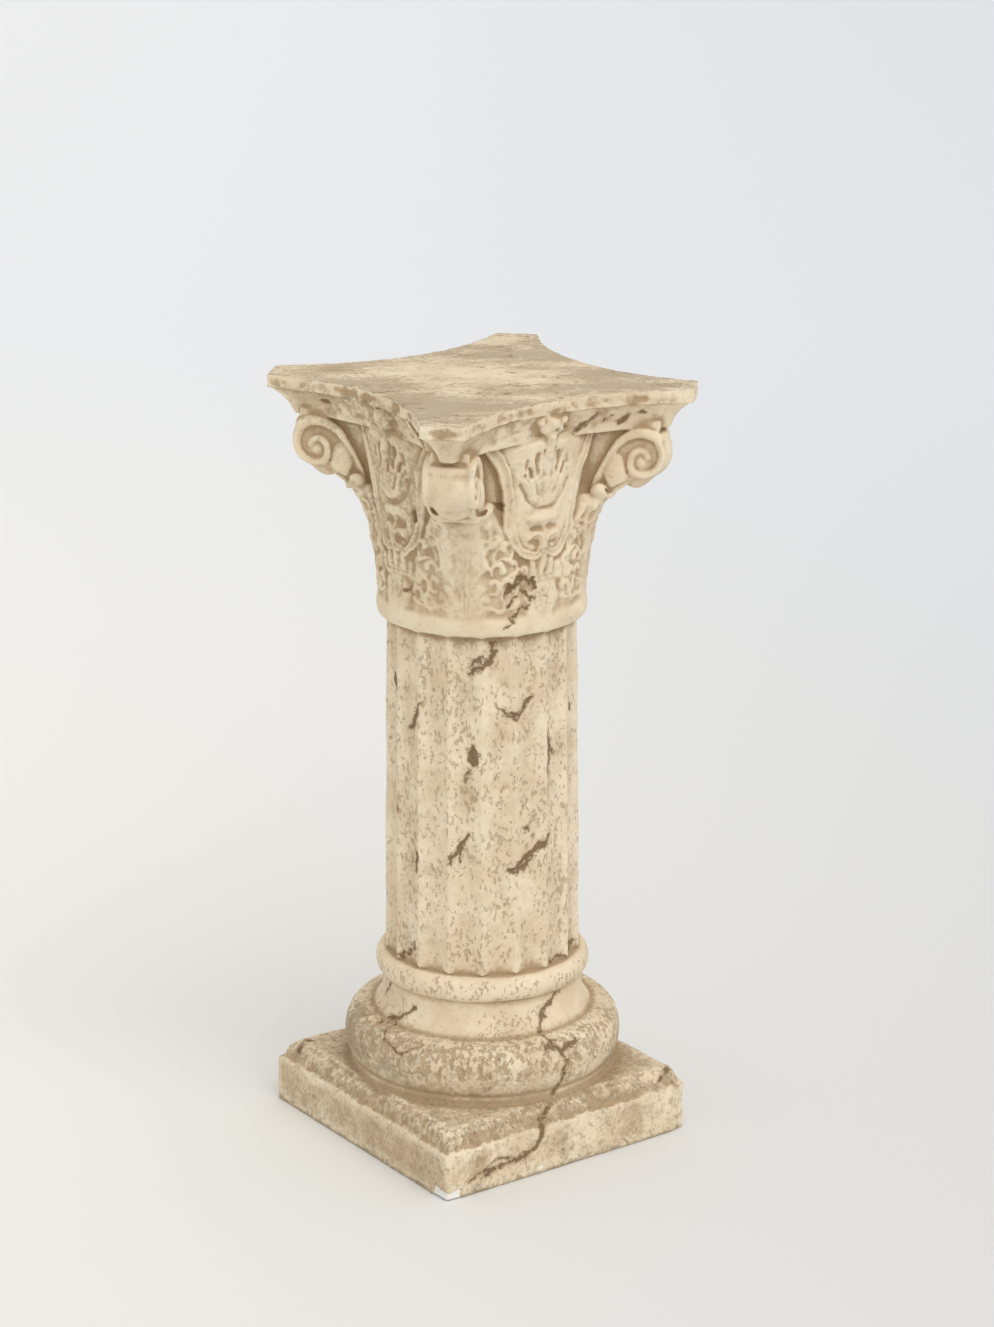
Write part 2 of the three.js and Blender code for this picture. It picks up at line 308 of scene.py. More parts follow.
@dataclass
class Relief:
    """Carving on half a face of the bell, drawn over angle and height and mirrored.

    Attributes:
        reach: the angle from the middle of a face to its corner.
        foot: lowest height drawn.
        head: highest height drawn.
        radius: the radius at which angles are turned into widths.
        grain: spacing of the drawing in mm.
    """

    reach: float = 45.0
    foot: float = 545.0
    head: float = 735.0
    radius: float = 103.0
    grain: float = 0.4
    height: Array = field(init=False)

    def __post_init__(self) -> None:
        """Lays out an empty drawing."""
        self.scale = DEGREE * self.radius
        self.wide = np.arange(0.0, self.reach * self.scale + self.grain, self.grain)
        self.tall = np.arange(self.foot, self.head + self.grain, self.grain)
        self.across, self.up = np.meshgrid(self.wide, self.tall)
        self.height = np.zeros(self.across.shape)

    def window(self, line: Array, margin: float) -> tuple[slice, slice]:
        """Finds the part of the drawing round a line.

        Args:
            line: points in mm, one a row.
            margin: room left round them in mm.

        Returns:
            Rows and columns of the drawing.
        """
        low, high = line.min(0) - margin, line.max(0) + margin
        rows = np.searchsorted(self.tall, [low[1], high[1]])
        columns = np.searchsorted(self.wide, [low[0], high[0]])
        return tuple(slice(a, max(b, a + 1)) for a, b in (rows, columns))

    def placed(self, points: Path, corner: bool) -> Array:
        """Turns a path of angles and heights into mm.

        Args:
            points: angle and height pairs.
            corner: True where angles are measured back from the corner.

        Returns:
            The smooth path in mm.
        """
        turned = [((self.reach - angle if corner else angle) * self.scale, z) for angle, z in points]
        return curve(turned) if len(turned) > 2 else np.array(turned, float)

    def read(self, sheet: Array, angle: Array, level: Array) -> Array:
        """Reads a sheet all round the bell.

        Args:
            sheet: values over this drawing.
            angle: angles round the axis.
            level: heights, one for each angle.

        Returns:
            The values there.
        """
        folded = np.abs((angle + self.reach) % (2.0 * self.reach) - self.reach)
        across = folded * self.scale / self.grain
        up = np.clip((level - self.foot) / self.grain, 0.0, len(self.tall) - 1.001)
        across = np.clip(across, 0.0, len(self.wide) - 1.001)
        row, column = up.astype(int), across.astype(int)
        part, share = up - row, across - column
        below = sheet[row, column] * (1.0 - share) + sheet[row, column + 1] * share
        above = sheet[row + 1, column] * (1.0 - share) + sheet[row + 1, column + 1] * share
        return below * (1.0 - part) + above * part

    def stroke(self, points: Path, width: float, height: float, section: Section = Section.ROUND,
               ends: tuple[float, float] = (1.0, 1.0), corner: bool = False) -> None:
        """Raises a ridge along a path where it stands above what is there.

        Args:
            points: angle and height pairs.
            width: the ridge's full width in mm.
            height: how far it stands out in mm.
            section: its shape across.
            ends: shares of the width at its start and end.
            corner: True where angles are measured back from the corner.
        """
        line = self.placed(points, corner)
        view = self.window(line, width)
        gap, along = line_distance(self.across[view], self.up[view], line)
        swell = ends[0] + (ends[1] - ends[0]) * along
        ridge = height * (0.5 + 0.5 * swell) * section.height(gap / (0.5 * width * swell))
        self.height[view] = np.maximum(self.height[view], ridge)

    def hollow(self, points: Path, width: float, depth: float, corner: bool = False) -> None:
        """Sinks a soft groove along a path.

        Args:
            points: angle and height pairs.
            width: the groove's full width in mm.
            depth: how deep it goes in mm.
            corner: True where angles are measured back from the corner.
        """
        line = self.placed(points, corner)
        view = self.window(line, 2 * width)
        gap, _ = line_distance(self.across[view], self.up[view], line)
        self.height[view] -= depth * np.exp(-((gap / (0.5 * width)) ** 2))

    def patch(self, points: Path, height: float, soft: float) -> None:
        """Raises a flat patch with a soft edge.

        Args:
            points: angle and height pairs round the patch.
            height: how far it stands out in mm.
            soft: width of its sloping edge in mm.
        """
        outline = np.array([(angle * self.scale, z) for angle, z in points])
        view = self.window(outline, 2 * soft)
        gap = outline_distance(self.across[view], self.up[view], outline)
        raised = height * smooth_step(-gap, -0.5 * soft, soft)
        self.height[view] = np.maximum(self.height[view], raised)


@dataclass
class Lattice:
    """Points of space at which the stone is worked out, in mm.

    Attributes:
        step: spacing of the points.
        half: how far they reach sideways from the axis.
        head: how far they reach up.
    """

    step: float = 1.25
    half: float = 163.0
    head: float = 764.0

    def __post_init__(self) -> None:
        """Lays out the points, symmetric about both planes through the axis."""
        count = math.ceil(self.half / self.step)
        self.side = (np.arange(count) + 0.5) * self.step
        self.across = np.concatenate([-self.side[::-1], self.side])
        self.z = np.arange(-2.5 * self.step, self.head + 2 * self.step, self.step)
        self.x, self.y = np.meshgrid(self.across, self.across, indexing="ij")
        self.r = np.hypot(self.x, self.y)
        self.angle = np.degrees(np.arctan2(self.x, -self.y))
        quarter_x, quarter_y = np.meshgrid(self.side, self.side, indexing="ij")
        self.out = np.maximum(quarter_x, quarter_y)
        self.along = np.minimum(quarter_x, quarter_y)
        self.diagonal = (self.out + self.along) * math.sqrt(0.5)
        self.beside = (self.out - self.along) * math.sqrt(0.5)

    def whole(self, quarter: Array) -> Array:
        """Mirrors values of one quarter onto all four.

        Args:
            quarter: values at the quarter's points.

        Returns:
            Values at all the points of a level.
        """
        half = np.concatenate([quarter[::-1], quarter], axis=0)
        return np.concatenate([half[:, ::-1], half], axis=1)


@dataclass
class Plinth:
    """The square slab, with a worn bevel round its top.

    Attributes:
        half: half its width.
        side: height of its upright sides.
        top: height of its upper face.
        lip: how far the bevel steps in at its foot.
        slope: how far it leans in.
        crown: how far it rounds in at its head.
        round: radius of its upright edges.
        skew: how much further out front and back lie at their middle, more to the left and less to the right.
        break_depth: how far the right-hand corner is broken back.
        break_reach: how far the break spreads.
    """

    half: float = 149.6
    side: float = 47.5
    top: float = 66.0
    lip: float = 3.0
    slope: float = 10.0
    crown: float = 5.0
    round: float = 4.0
    skew: float = 1.0
    break_depth: float = 5.0
    break_reach: float = 15.0

    def distance(self, lattice: Lattice, z: float) -> Array:
        """Measures to the slab at one level.

        Args:
            lattice: the points.
            z: the level.

        Returns:
            Distances, negative inside.
        """
        share = min(max((z - self.side) / (self.top - self.side), 0.0), 1.2)
        bevel = self.lip * min(8.0 * share, 1.0) + self.slope * share + self.crown * max(share - 0.75, 0.0) * 4.0
        skew = self.skew * (1.0 - 2.0 * lattice.x / self.half)
        sides = meet(np.abs(lattice.x), np.abs(lattice.y) - skew, self.round) - self.half + bevel
        from_corner = (lattice.x - self.half) ** 2 + (lattice.y + self.half) ** 2
        sides = sides + self.break_depth * np.exp(-from_corner / self.break_reach**2)
        return np.maximum(sides, max(z - self.top, -z))


@dataclass
class Turned:
    """Everything turned round the axis below the bell: base, shaft and rings.

    Attributes:
        base: radius and height pairs of the base mouldings, from the plinth up.
        foot: height of the shaft's foot.
        head: height of the shaft's head.
        foot_radius: radius over the arrises at the foot.
        head_radius: radius over the arrises at the head.
        flutes: how many flutes.
        depth: depth of a flute.
        phase: angle of one arris.
        ring: radius and height pairs of the ring at the shaft's head.
        grain: spacing of the sheet of distances.
    """

    base: Path = field(default_factory=lambda: [
        (131.5, 60.0), (131.5, 73.0), (130.5, 74.5), (133.5, 79.0), (136.2, 85.5), (137.6, 93.0),
        (137.8, 100.0), (136.8, 107.5), (134.0, 114.5), (129.5, 119.8), (123.5, 123.6),
        (116.0, 125.4), (109.5, 125.6), (108.4, 126.6), (107.0, 128.6), (103.4, 133.0), (100.6, 139.0),
        (99.0, 146.0), (98.0, 153.0), (97.6, 160.0), (98.4, 161.2), (101.8, 162.6),
        (104.6, 166.2), (105.9, 171.0), (106.0, 175.5), (104.8, 180.0), (102.2, 183.8),
        (98.4, 186.2), (93.0, 187.4)])
    foot: float = 186.0
    head: float = 531.0
    foot_radius: float = 97.8
    head_radius: float = 94.0
    flutes: int = 18
    depth: float = 5.2
    phase: float = 5.0
    ring: Path = field(default_factory=lambda: [
        (93.0, 529.8), (96.6, 530.4), (99.6, 532.0), (101.6, 535.2), (102.4, 539.8), (102.3, 544.6),
        (101.0, 549.2), (99.0, 552.2), (97.6, 554.0)])
    grain: float = 0.5

    def __post_init__(self) -> None:
        """Works out the profile as a sheet of distances over radius and height."""
        shaft = [(self.foot_radius, self.foot + 2.0), (self.head_radius, self.head - 2.0)]
        outline = np.array([*self.base, *shaft, *self.ring, (97.0, 566.0)])
        self.radii = np.arange(60.0, 170.0, self.grain)
        self.levels = np.arange(54.0, 572.0, self.grain)
        wide, tall = np.meshgrid(self.radii, self.levels)
        gap, _ = line_distance(wide, tall, outline)
        edge = np.interp(tall, outline[:, 1], outline[:, 0])
        self.sheet = np.where(wide < edge, -gap, gap)

    def distance(self, lattice: Lattice, z: float) -> Array:
        """Measures to the turned stone at one level.

        Args:
            lattice: the points.
            z: the level.

        Returns:
            Distances, negative inside.
        """
        row = sheet_row(self.sheet, (z - self.levels[0]) / self.grain)
        radius = lattice.r
        if self.foot - 2.0 < z < self.head + 1.0:
            across = ((lattice.angle - self.phase) * self.flutes / 360.0) % 1.0
            hollow = 1.0 - np.abs(2.0 * across - 1.0) ** 2.2
            ease = smooth_step(np.array(z), self.foot - 2.0, self.foot + 3.0)
            radius = radius + self.depth * hollow * ease
        return np.interp(radius, self.radii, row) + np.maximum(radius - self.radii[-1], 0.0)


@dataclass
class Bell:
    """The bell of the capital with the carving that lies on it.

    Attributes:
        foot: height of its foot.
        head: height of its lip under the abacus.
        foot_radius: radius at the foot.
        flare: how much wider the lip is.
        leaf: radius and height pairs up the middle of the corner leaf.
        tip: height of that leaf's tip.
    """

    foot: float = 553.0
    head: float = 722.0
    foot_radius: float = 97.2
    flare: float = 13.0
    leaf: Path = field(default_factory=lambda: [
        (101.3, 545.0), (101.3, 560.0), (102.0, 573.0), (103.9, 587.0), (107.0, 604.0), (110.3, 620.0),
        (114.4, 635.0), (119.0, 645.0), (124.0, 652.0), (128.5, 656.5), (130.0, 659.0)])
    tip: float = 659.0

    def __post_init__(self) -> None:
        """Draws the carving."""
        self.relief = Relief()
        self.noise = Noise(31)
        self.angles = np.arange(-180.0, 180.0, 0.5)
        self.draw_corner_leaf()
        self.draw_low_leaf()
        self.draw_lyre()
        self.draw_palmette()

    def radius(self, z: Array) -> Array:
        """The bare bell's radius at heights z."""
        share = np.clip((z - self.foot) / (self.head - self.foot), 0.0, 1.05)
        return self.foot_radius + self.flare * share**2.6

    def draw_corner_leaf(self) -> None:
        """Draws the tall leaf: a smooth middle that leans out, and curled lobes beside it."""
        relief = self.relief
        radii, heights = np.array(self.leaf).T
        lean = np.interp(relief.up, heights, radii) - self.radius(relief.up)
        lean = np.where(relief.up > self.tip, 0.0, lean)
        from_corner = relief.reach - relief.across / relief.scale
        edge = np.interp(relief.up, [545, 560, 580, 600, 620, 640, 656, 668], [33, 33, 32, 30, 27, 22, 16, 9])
        half = np.interp(relief.up, [545, 600, 640, 650, 656], [5.5, 6.5, 8.0, 9.0, 9.6])
        across = smooth_step(half - from_corner, -10.0, 1.0)
        body = np.maximum(lean, 4.0) * (0.38 + 0.62 * across) * smooth_step(edge - from_corner, -1.0, 4.0)
        relief.height = np.maximum(relief.height, np.where(relief.up > self.tip + 5.0, 0.0, body))
        self.body = relief.height.copy()
        curls = Relief()
        for path, width, height, section, ends in (
                (((8.8, 647), (7.2, 641), (7.6, 633.5), (10.4, 629.5), (13.4, 632), (14.2, 640), (12.4, 647.5),
                  (9.6, 649.5)), 4.0, 3.6, Section.ROUND, (1.0, 1.0)),
                (((20.5, 628), (16.5, 626.5), (12.8, 620.5), (11.2, 612), (11.6, 603.5), (14.2, 599)), 4.6, 4.2,
                 Section.ROUND, (0.6, 1.0)),
                (((21.5, 620.5), (18.2, 620), (16.0, 615), (15.8, 608)), 4.0, 3.4, Section.ROUND, (0.7, 1.0)),
                (((17.0, 606), (20.6, 609), (24.6, 607)), 4.4, 3.2, Section.ROUND, (0.6, 1.0)),
                (((21.4, 590), (25.6, 592), (30.4, 598)), 5.0, 3.6, Section.ROUND, (0.6, 1.0)),
                (((14.0, 574), (17.8, 577), (20.6, 584)), 4.6, 3.2, Section.ROUND, (0.6, 1.0)),
                (((22.0, 560), (26.4, 561), (30.6, 565)), 5.0, 3.4, Section.ROUND, (0.6, 1.0)),
                (((4.4, 566), (7.0, 574), (10.4, 579)), 6.0, 2.0, Section.SOFT, (0.6, 1.0)),
                (((4.8, 584), (7.2, 592), (9.8, 598)), 6.0, 2.2, Section.SOFT, (0.6, 1.0)),
                (((5.8, 602), (7.6, 610), (9.0, 616)), 5.6, 2.0, Section.SOFT, (0.6, 1.0)),
                (((8.0, 557), (12.4, 561), (16.0, 560), (20.5, 557)), 5.0, 2.4, Section.ROUND, (0.8, 1.0)),
                (((9.4, 626), (9.6, 616), (8.8, 607)), 4.4, 2.6, Section.ROUND, (1.0, 0.6)),
                (((16.6, 650), (17.4, 643), (20.0, 637)), 4.6, 3.2, Section.ROUND, (0.7, 1.0)),
                (((6.4, 588), (8.6, 595), (8.0, 602), (6.0, 606)), 4.4, 2.6, Section.ROUND, (0.7, 1.0)),
                (((8.6, 582), (6.6, 576), (7.6, 569)), 4.2, 2.4, Section.ROUND, (1.0, 0.7))):
            curls.stroke(path, width, height, section, ends, corner=True)
        for angle, z, size, start, turn, height in (
                (22.8, 617.0, 9.6, -60, 200, 4.2), (15.8, 626.0, 6.4, 60, 250, 3.4),
                (19.2, 597.5, 8.4, 200, -190, 4.4), (26.4, 601.5, 7.4, 250, 190, 4.2),
                (24.6, 582.0, 8.8, 230, -200, 4.4), (16.2, 583.5, 7.4, 300, 190, 3.8),
                (31.0, 588.5, 6.4, 210, -270, 3.8), (20.4, 567.5, 8.0, 240, 190, 4.0),
                (28.4, 571.5, 8.2, 220, -190, 4.0), (13.2, 604.5, 5.8, 60, -260, 3.0),
                (12.2, 567.0, 6.0, 300, -270, 2.8)):
            path = self.curl(angle, z, size, start, turn)
            curls.stroke(path, 6.2, height, Section.ROUND, (0.6, 1.1), corner=True)
        relief.height = relief.height + 0.66 * curls.height
        for path in ([(2.6, 560), (3.4, 590), (4.6, 618), (6.4, 640)], [(0.0, 556), (0.6, 590), (1.4, 622)],
                     [(11.4, 641), (10.6, 636)], [(17.0, 640), (16.2, 631), (18.4, 627.5)]):
            relief.hollow(path, 2.2, 0.6, corner=True)
        relief.hollow([(18.6, 661), (20.6, 657)], 5.0, 2.2, corner=True)

    @staticmethod
    def curl(angle: float, z: float, size: float, start: float, turn: float) -> Path:
        """Winds one curl of the leaf inwards.

        Args:
            angle: its middle, in degrees from the corner.
            z: height of its middle.
            size: its outer radius in mm.
            start: the direction of its open end, in degrees.
            turn: how far it winds, in degrees.

        Returns:
            Angle and height pairs along it.
        """
        path = []
        for share in np.linspace(0.0, 1.0, 9):
            way, radius = math.radians(start + turn * share), size * (1.0 - 0.55 * share)
            path.append((angle + radius * math.cos(way) / 1.9, z + 1.15 * radius * math.sin(way)))
        return path

    def draw_low_leaf(self) -> None:
        """Draws the short leaf below the cusp of the lyre: one smooth lobe with smaller ones above it."""
        relief = self.relief
        relief.patch([(-4, 580), (13, 580), (17, 588), (14, 598), (9, 604), (4, 608), (-4, 610)], 2.6, 6.0)
        relief.patch([(-4, 540), (8, 540), (11.5, 554), (12.5, 568), (10, 580), (5, 586), (-4, 588)], 3.6, 8.0)
        for path, width, height in ((((0.0, 587), (0.0, 607)), 9.0, 4.2),
                                    (((4.6, 588), (6.8, 596), (6.0, 603)), 8.4, 4.0),
                                    (((10.2, 586), (12.8, 592), (11.8, 598)), 8.0, 3.8),
                                    (((15.0, 580), (16.6, 585), (16.2, 590)), 7.0, 3.4)):
            relief.stroke(path, width, height, Section.ROUND, (0.7, 1.0))
        for path in ([(2.4, 592), (3.2, 602)], [(8.6, 592), (9.0, 600)], [(0.0, 589), (5.0, 588.5), (11.0, 589)],
                     [(3.6, 562), (5.2, 580)]):
            relief.hollow(path, 2.2, 1.3)

    def draw_lyre(self) -> None:
        """Draws one band of the lyre from its cusp to the horn, with the curl in its bend."""
        relief = self.relief
        relief.patch([(-4, 724), (29, 724), (24, 702), (21.4, 680), (20.4, 655), (18.6, 636), (14.6, 622),
                      (7, 613), (0, 617), (-4, 617)], 3.0, 6.0)
        strap = [(0.6, 618.0), (2.6, 612.0), (7.0, 610.0), (12.0, 613.5), (16.4, 622.0), (19.2, 633.0),
                 (20.6, 646.0), (21.2, 661.0), (21.8, 676.0), (23.4, 691.0), (26.2, 704.0), (29.4, 715.0),
                 (31.5, 722.0), (33.0, 728.0)]
        relief.stroke(strap, 14.5, 6.2, Section.BAND, (0.6, 1.0))
        relief.hollow([(angle + 4.6, z - 1.0) for angle, z in strap[4:]], 5.0, 1.5)
        relief.hollow([(2.6, 637.0), (7.6, 636.4)], 6.4, 3.2)
        relief.hollow([(4.0, 621.0), (8.4, 622.4)], 5.2, 2.4)
        relief.stroke([(0.8, 618.5), (1.6, 626.0), (4.2, 631.0), (8.0, 630.4), (9.8, 626.8)], 5.4, 6.6,
                      Section.ROUND, (1.0, 0.8))
        relief.stroke([(0.0, 616.0), (0.0, 630.0)], 6.0, 5.6, Section.SOFT)

    def draw_palmette(self) -> None:
        """Draws the mound and the cup of pointed leaves inside the lyre."""
        relief = self.relief
        relief.patch([(-4, 641.5), (4, 642), (8, 640.5), (11.6, 643), (12.2, 648), (8, 652), (-4, 655)], 5.6, 3.4)
        relief.hollow([(0.0, 655.6), (5.4, 656.6), (9.8, 663.6), (12.8, 671.5), (15.0, 681)], 3.4, 2.4)
        relief.patch([(-4, 657), (2, 657.4), (5.4, 660), (8.4, 665.4), (11, 672), (13, 680), (13.8, 690),
                      (11.2, 692), (9.8, 688), (9.4, 697), (9.8, 709), (6.6, 703), (4.8, 694), (4.2, 706),
                      (3.2, 716), (-3, 722)], 6.2, 3.0)
        relief.stroke([(0.0, 692.0), (0.0, 730.0)], 9.0, 7.4, Section.SOFT)
        relief.stroke([(0.0, 666.0), (0.0, 690.0)], 18.0, 7.6, Section.SOFT)
        for path, width, depth in (([(4.6, 670), (7.0, 681), (8.8, 694)], 2.4, 2.6),
                                   ([(7.8, 669), (10.2, 677), (11.6, 688)], 2.2, 2.2),
                                   ([(2.0, 688), (3.0, 700), (3.0, 714)], 2.6, 3.0),
                                   ([(5.6, 691), (6.8, 699), (6.2, 710)], 4.4, 4.2),
                                   ([(9.0, 689), (10.6, 697)], 2.8, 3.2),
                                   ([(11.4, 684), (13.0, 690)], 2.4, 2.4),
                                   ([(13.0, 697), (12.0, 705)], 4.0, 2.2)):
            relief.hollow(path, width, depth)

    def distance(self, lattice: Lattice, z: float) -> Array:
        """Measures to the bell at one level.

        Args:
            lattice: the points.
            z: the level.

        Returns:
            Distances, negative inside.
        """
        turn = np.radians(self.angles)
        flat = np.full(turn.shape, z)
        place = np.stack([105.0 * np.sin(turn), -105.0 * np.cos(turn), flat], 1)
        low = float(fade(np.array(z), 636.0, 660.0))
        angle = self.angles + (0.5 + 0.7 * low) * self.noise.at(place, 8.0)
        level = z + (0.8 + 1.2 * low) * self.noise.at(place + 40.0, 8.0)
        keep = np.clip(0.86 + 0.55 * self.noise.at(place + 80.0, 26.0), 0.35, 1.15)
        rubbed = band(self.angles, -68.0, -60.0, -50.0, -44.0) * low
        keep = keep * (1.0 - 0.55 * rubbed)
        body = self.relief.read(self.body, self.angles, flat)
        carved = self.relief.read(self.relief.height - self.body, angle, level)
        radius = self.radius(np.array(z)) + body + keep * carved
        return (lattice.r - np.interp(lattice.angle, self.angles, radius, period=360.0)) * 0.85


@dataclass
class Volute:
    """One of the four volutes, with its web, its leaf tip and the beads below.

    Lengths out are measured from the axis along the diagonal, and beside is measured off it.

    Attributes:
        reach: how far out its middle lies.
        z: height of its middle.
        radius: radius of its rim.
        web: half the thickness of the web that joins it to the bell.
        inner: half the space between its two ribbons.
        floor: half the width over its two sides, without the ribbons' rise.
        behind: how far the ribbons stay behind the rim.
        cushion: half the width of the cushion between the ribbons.
        drop: how far the cushion falls back at its sides.
        head: height of the cushion's head.
        egg: half length, half thickness and half width of the egg inside the volute.
        lean: how far the egg leans out, in degrees.
        collar: how far out and how high the small collar lies, its half length and its radius.
        loop: how far out, how far beside and how high the small loop lies.
        bead: the same of the bead below it.
        bead_radius: the bead's radius.
        grain: spacing of the sheets of distances.
    """

    reach: float = 157.5
    z: float = 697.0
    radius: float = 26.5
    web: float = 17.5
    inner: float = 18.5
    floor: float = 19.6
    behind: float = 3.4
    cushion: float = 20.5
    drop: float = 7.5
    head: float = 718.0
    egg: tuple[float, float, float] = (31.0, 18.5, 21.0)
    lean: float = 24.0
    collar: tuple[float, float, float, float] = (127.5, 654.5, 18.0, 2.4)
    loop: tuple[float, float, float] = (117.5, 22.0, 660.0)
    bead: tuple[float, float, float] = (112.5, 24.0, 648.5)
    bead_radius: float = 5.2
    grain: float = 0.5

    def __post_init__(self) -> None:
        """Draws its outline and its carved side over distance and height."""
        self.far = np.arange(84.0, 196.0, self.grain)
        self.tall = np.arange(626.0, 734.0, self.grain)
        out, up = np.meshgrid(self.far, self.tall)
        rim = [(self.reach + self.radius * math.sin(turn * DEGREE), self.z + self.radius * math.cos(turn * DEGREE))
               for turn in range(60, 186, 14)]
        web = np.array([(88, 730), (88, 636), (112, 636), (119.5, 645), (125, 652), (133, 659), (144, 667),
                        (153, 680), (162, 698), (170, 714), (174, 722), (174, 730)])
        under = [(153, 671), (146, 668), (136, 664), (125, 656), (118, 648), (110, 636)]
        stalk = [(98, 636), (100, 650), (103, 662.6), (108.7, 676.5), (114, 687.5), (121, 700), (129, 713.5),
                 (137.5, 721.6), (144, 730)]
        side = np.array([*stalk, (180, 730), (181.5, 716), *rim, *under])
        self.sheets = (outline_distance(out, up, web), outline_distance(out, up, side), self.carved_face(out, up))

    def carved_face(self, out: Array, up: Array) -> Array:
        """Works out how far the volute's side stands off its middle plane.

        Args:
            out: distances along the diagonal.
            up: heights.

        Returns:
            Half widths at those places.
        """
        line = curve([(99.5, 640), (104, 652), (108, 663.5), (112.8, 675.5), (118.5, 687), (125.5, 698.6),
                      (134, 708.5), (144, 715.5), (155, 718.6), (166.5, 716.6), (175.2, 710.6), (179, 702),
                      (177.8, 691), (172.5, 682.5), (165, 677.2), (157, 676), (150.4, 679.2), (146.6, 685.4),
                      (146.6, 692.6), (149.8, 698.4), (155.2, 701.2), (160.6, 699.4), (163.2, 694.6)], 5)
        gap, along = line_distance(out, up, line)
        half = np.interp(along, [0.0, 0.33, 0.66, 0.8, 1.0], [4.4, 5.6, 5.4, 4.2, 3.2])
        rise = np.interp(along, [0.0, 0.1, 0.3, 0.62, 0.78, 1.0], [1.5, 3.4, 4.8, 5.0, 4.2, 3.0])
        ribbon = rise * np.clip(1.0 - (gap / half) ** 2.6, 0.0, 1.0) ** 0.6
        swell = 1.0 - ((out - 132.5) / 11.5) ** 2 - ((up - 680.0) / 18.5) ** 2
        bulge = 6.4 * np.sqrt(np.clip(swell, 0.0, 1.0))
        eye = 3.4 * np.exp(-((out - 156.6) ** 2 + (up - 689.5) ** 2) / 4.6**2)
        cut = 1.3 * np.exp(-(((gap - half - 0.4) / 1.3) ** 2))
        return self.floor + np.maximum(np.maximum(ribbon, bulge), eye) - cut

    def body(self, out: Array, beside: Array, z: float) -> Array:
        """Measures to the web, the two ribbons and the cushion between them.

        Args:
            out: distances along the diagonal.
            beside: distances off it.
            z: the level.

        Returns:
            Distances, negative inside.
        """
        place = (z - self.tall[0]) / self.grain
        web_edge, rim, face = (np.interp(out, self.far, sheet_row(sheet, place)) for sheet in self.sheets)
        web = meet(web_edge, beside - self.web, 3.0)
        ribbons = meet(rim + self.behind, meet(beside - face, self.inner - beside, 3.0), 4.0)
        cushion = rim + self.drop * (beside / self.cushion) ** 2.4
        half = np.where(rim > -11.0, self.cushion + 1.5, self.cushion - 1.5)
        cushion = meet(cushion, beside - half, 3.0)
        cushion = meet(cushion, np.full(out.shape, z - self.head), 8.0)
        return join(join(web, ribbons, 3.5), cushion, 2.5)

    def inside(self, out: Array, beside: Array, z: float) -> Array:
        """Measures to the egg that fills the volute; takes and returns what body does."""
        lean = self.lean * DEGREE
        along = (out - 156.0) * math.sin(lean) + (z - 690.0) * math.cos(lean)
        over = (out - 156.0) * math.cos(lean) - (z - 690.0) * math.sin(lean)
        length, thickness, width = self.egg
        total = (np.abs(along) / length) ** 2.2 + (np.abs(over) / thickness) ** 2.2 + (beside / width) ** 2.2
        return (total ** (1 / 2.2) - 1.0) * thickness

    def tied(self, out: Array, beside: Array, z: float) -> Array:
        """Measures to the small loop with its slit; takes and returns what body does."""
        far, aside, level = self.loop
        rise = (beside - aside + z - level) * math.sqrt(0.5)
        fall = (beside - aside - z + level) * math.sqrt(0.5)
        loop = (np.sqrt((rise / 11.6) ** 2 + (fall / 6.8) ** 2 + ((out - far) / 9.0) ** 2) - 1.0) * 6.8
        slit = np.maximum((np.hypot(rise / 7.4, fall / 1.9) - 1.0) * 1.9, far + 3.5 - out)
        return np.maximum(loop, -slit)

    def distance(self, lattice: Lattice, z: float) -> Array:
        """Measures to the volute in one quarter of a level.

        Args:
            lattice: the points.
            z: the level.

        Returns:
            Distances, negative inside.
        """
        out, beside = lattice.diagonal, lattice.beside
        whole = join(self.body(out, beside, z), self.inside(out, beside, z), 2.0)
        far, level, half, thickness = self.collar
        collar = np.hypot(np.hypot(np.maximum(beside - half, 0.0), out - far), z - level) - thickness
        whole = join(join(whole, collar, 3.0), self.tied(out, beside, z), 1.2)
        far, aside, level = self.bead
        bead = np.sqrt((out - far) ** 2 + (beside - aside) ** 2 + ((z - level) / 1.3) ** 2) - self.bead_radius
        return join(whole, bead, 2.0)


@dataclass
class Abacus:
    """The slab on top, with four hollow sides, four blunt horns and a cavetto below its band.

    Attributes:
        foot: height of its underside.
        band: height of the foot of its plain band.
        top: height of its upper face.
        side: distance from the axis to the middle of a side.
        reach: distance from the axis to a horn's end.
        horn: width of a horn's end.
        step: how far the cavetto stays behind the band.
        side_drop: how far the cavetto draws in at the middle of a side.
        reach_drop: how far it draws in at the horns.
        horn_drop: how much narrower it makes them.
    """

    foot: float = 722.0
    band: float = 749.0
    top: float = 762.0
    side: float = 120.0
    reach: float = 206.0
    horn: float = 44.0
    step: float = 4.0
    side_drop: float = 8.0
    reach_drop: float = 20.0
    horn_drop: float = 25.0

    def distance(self, lattice: Lattice, z: float) -> Array:
        """Measures to the slab in one quarter of a level.

        Args:
            lattice: the points.
            z: the level.

        Returns:
            Distances, negative inside.
        """
        share = np.clip((z - self.foot) / (self.band - self.foot), 0.0, 1.0)
        inset = float((1.0 - share**1.5) * (share < 1.0))
        back = self.step * float(z < self.band - 0.6)
        side = self.side - back - self.side_drop * inset
        reach = self.reach - back - self.reach_drop * inset
        horn = self.horn - self.horn_drop * inset - 1.5 * back
        across = (reach - horn / 2) * math.sqrt(0.5)
        sagitta = (reach + horn / 2) * math.sqrt(0.5) - side
        radius = (across**2 + sagitta**2) / (2 * sagitta)
        hollow = radius - np.hypot(lattice.along, lattice.out - side - radius)
        level = max(z - self.top, self.foot - z)
        plan = meet(hollow, lattice.diagonal - reach, 2.5)
        return meet(plan, np.full_like(plan, level), 1.8)


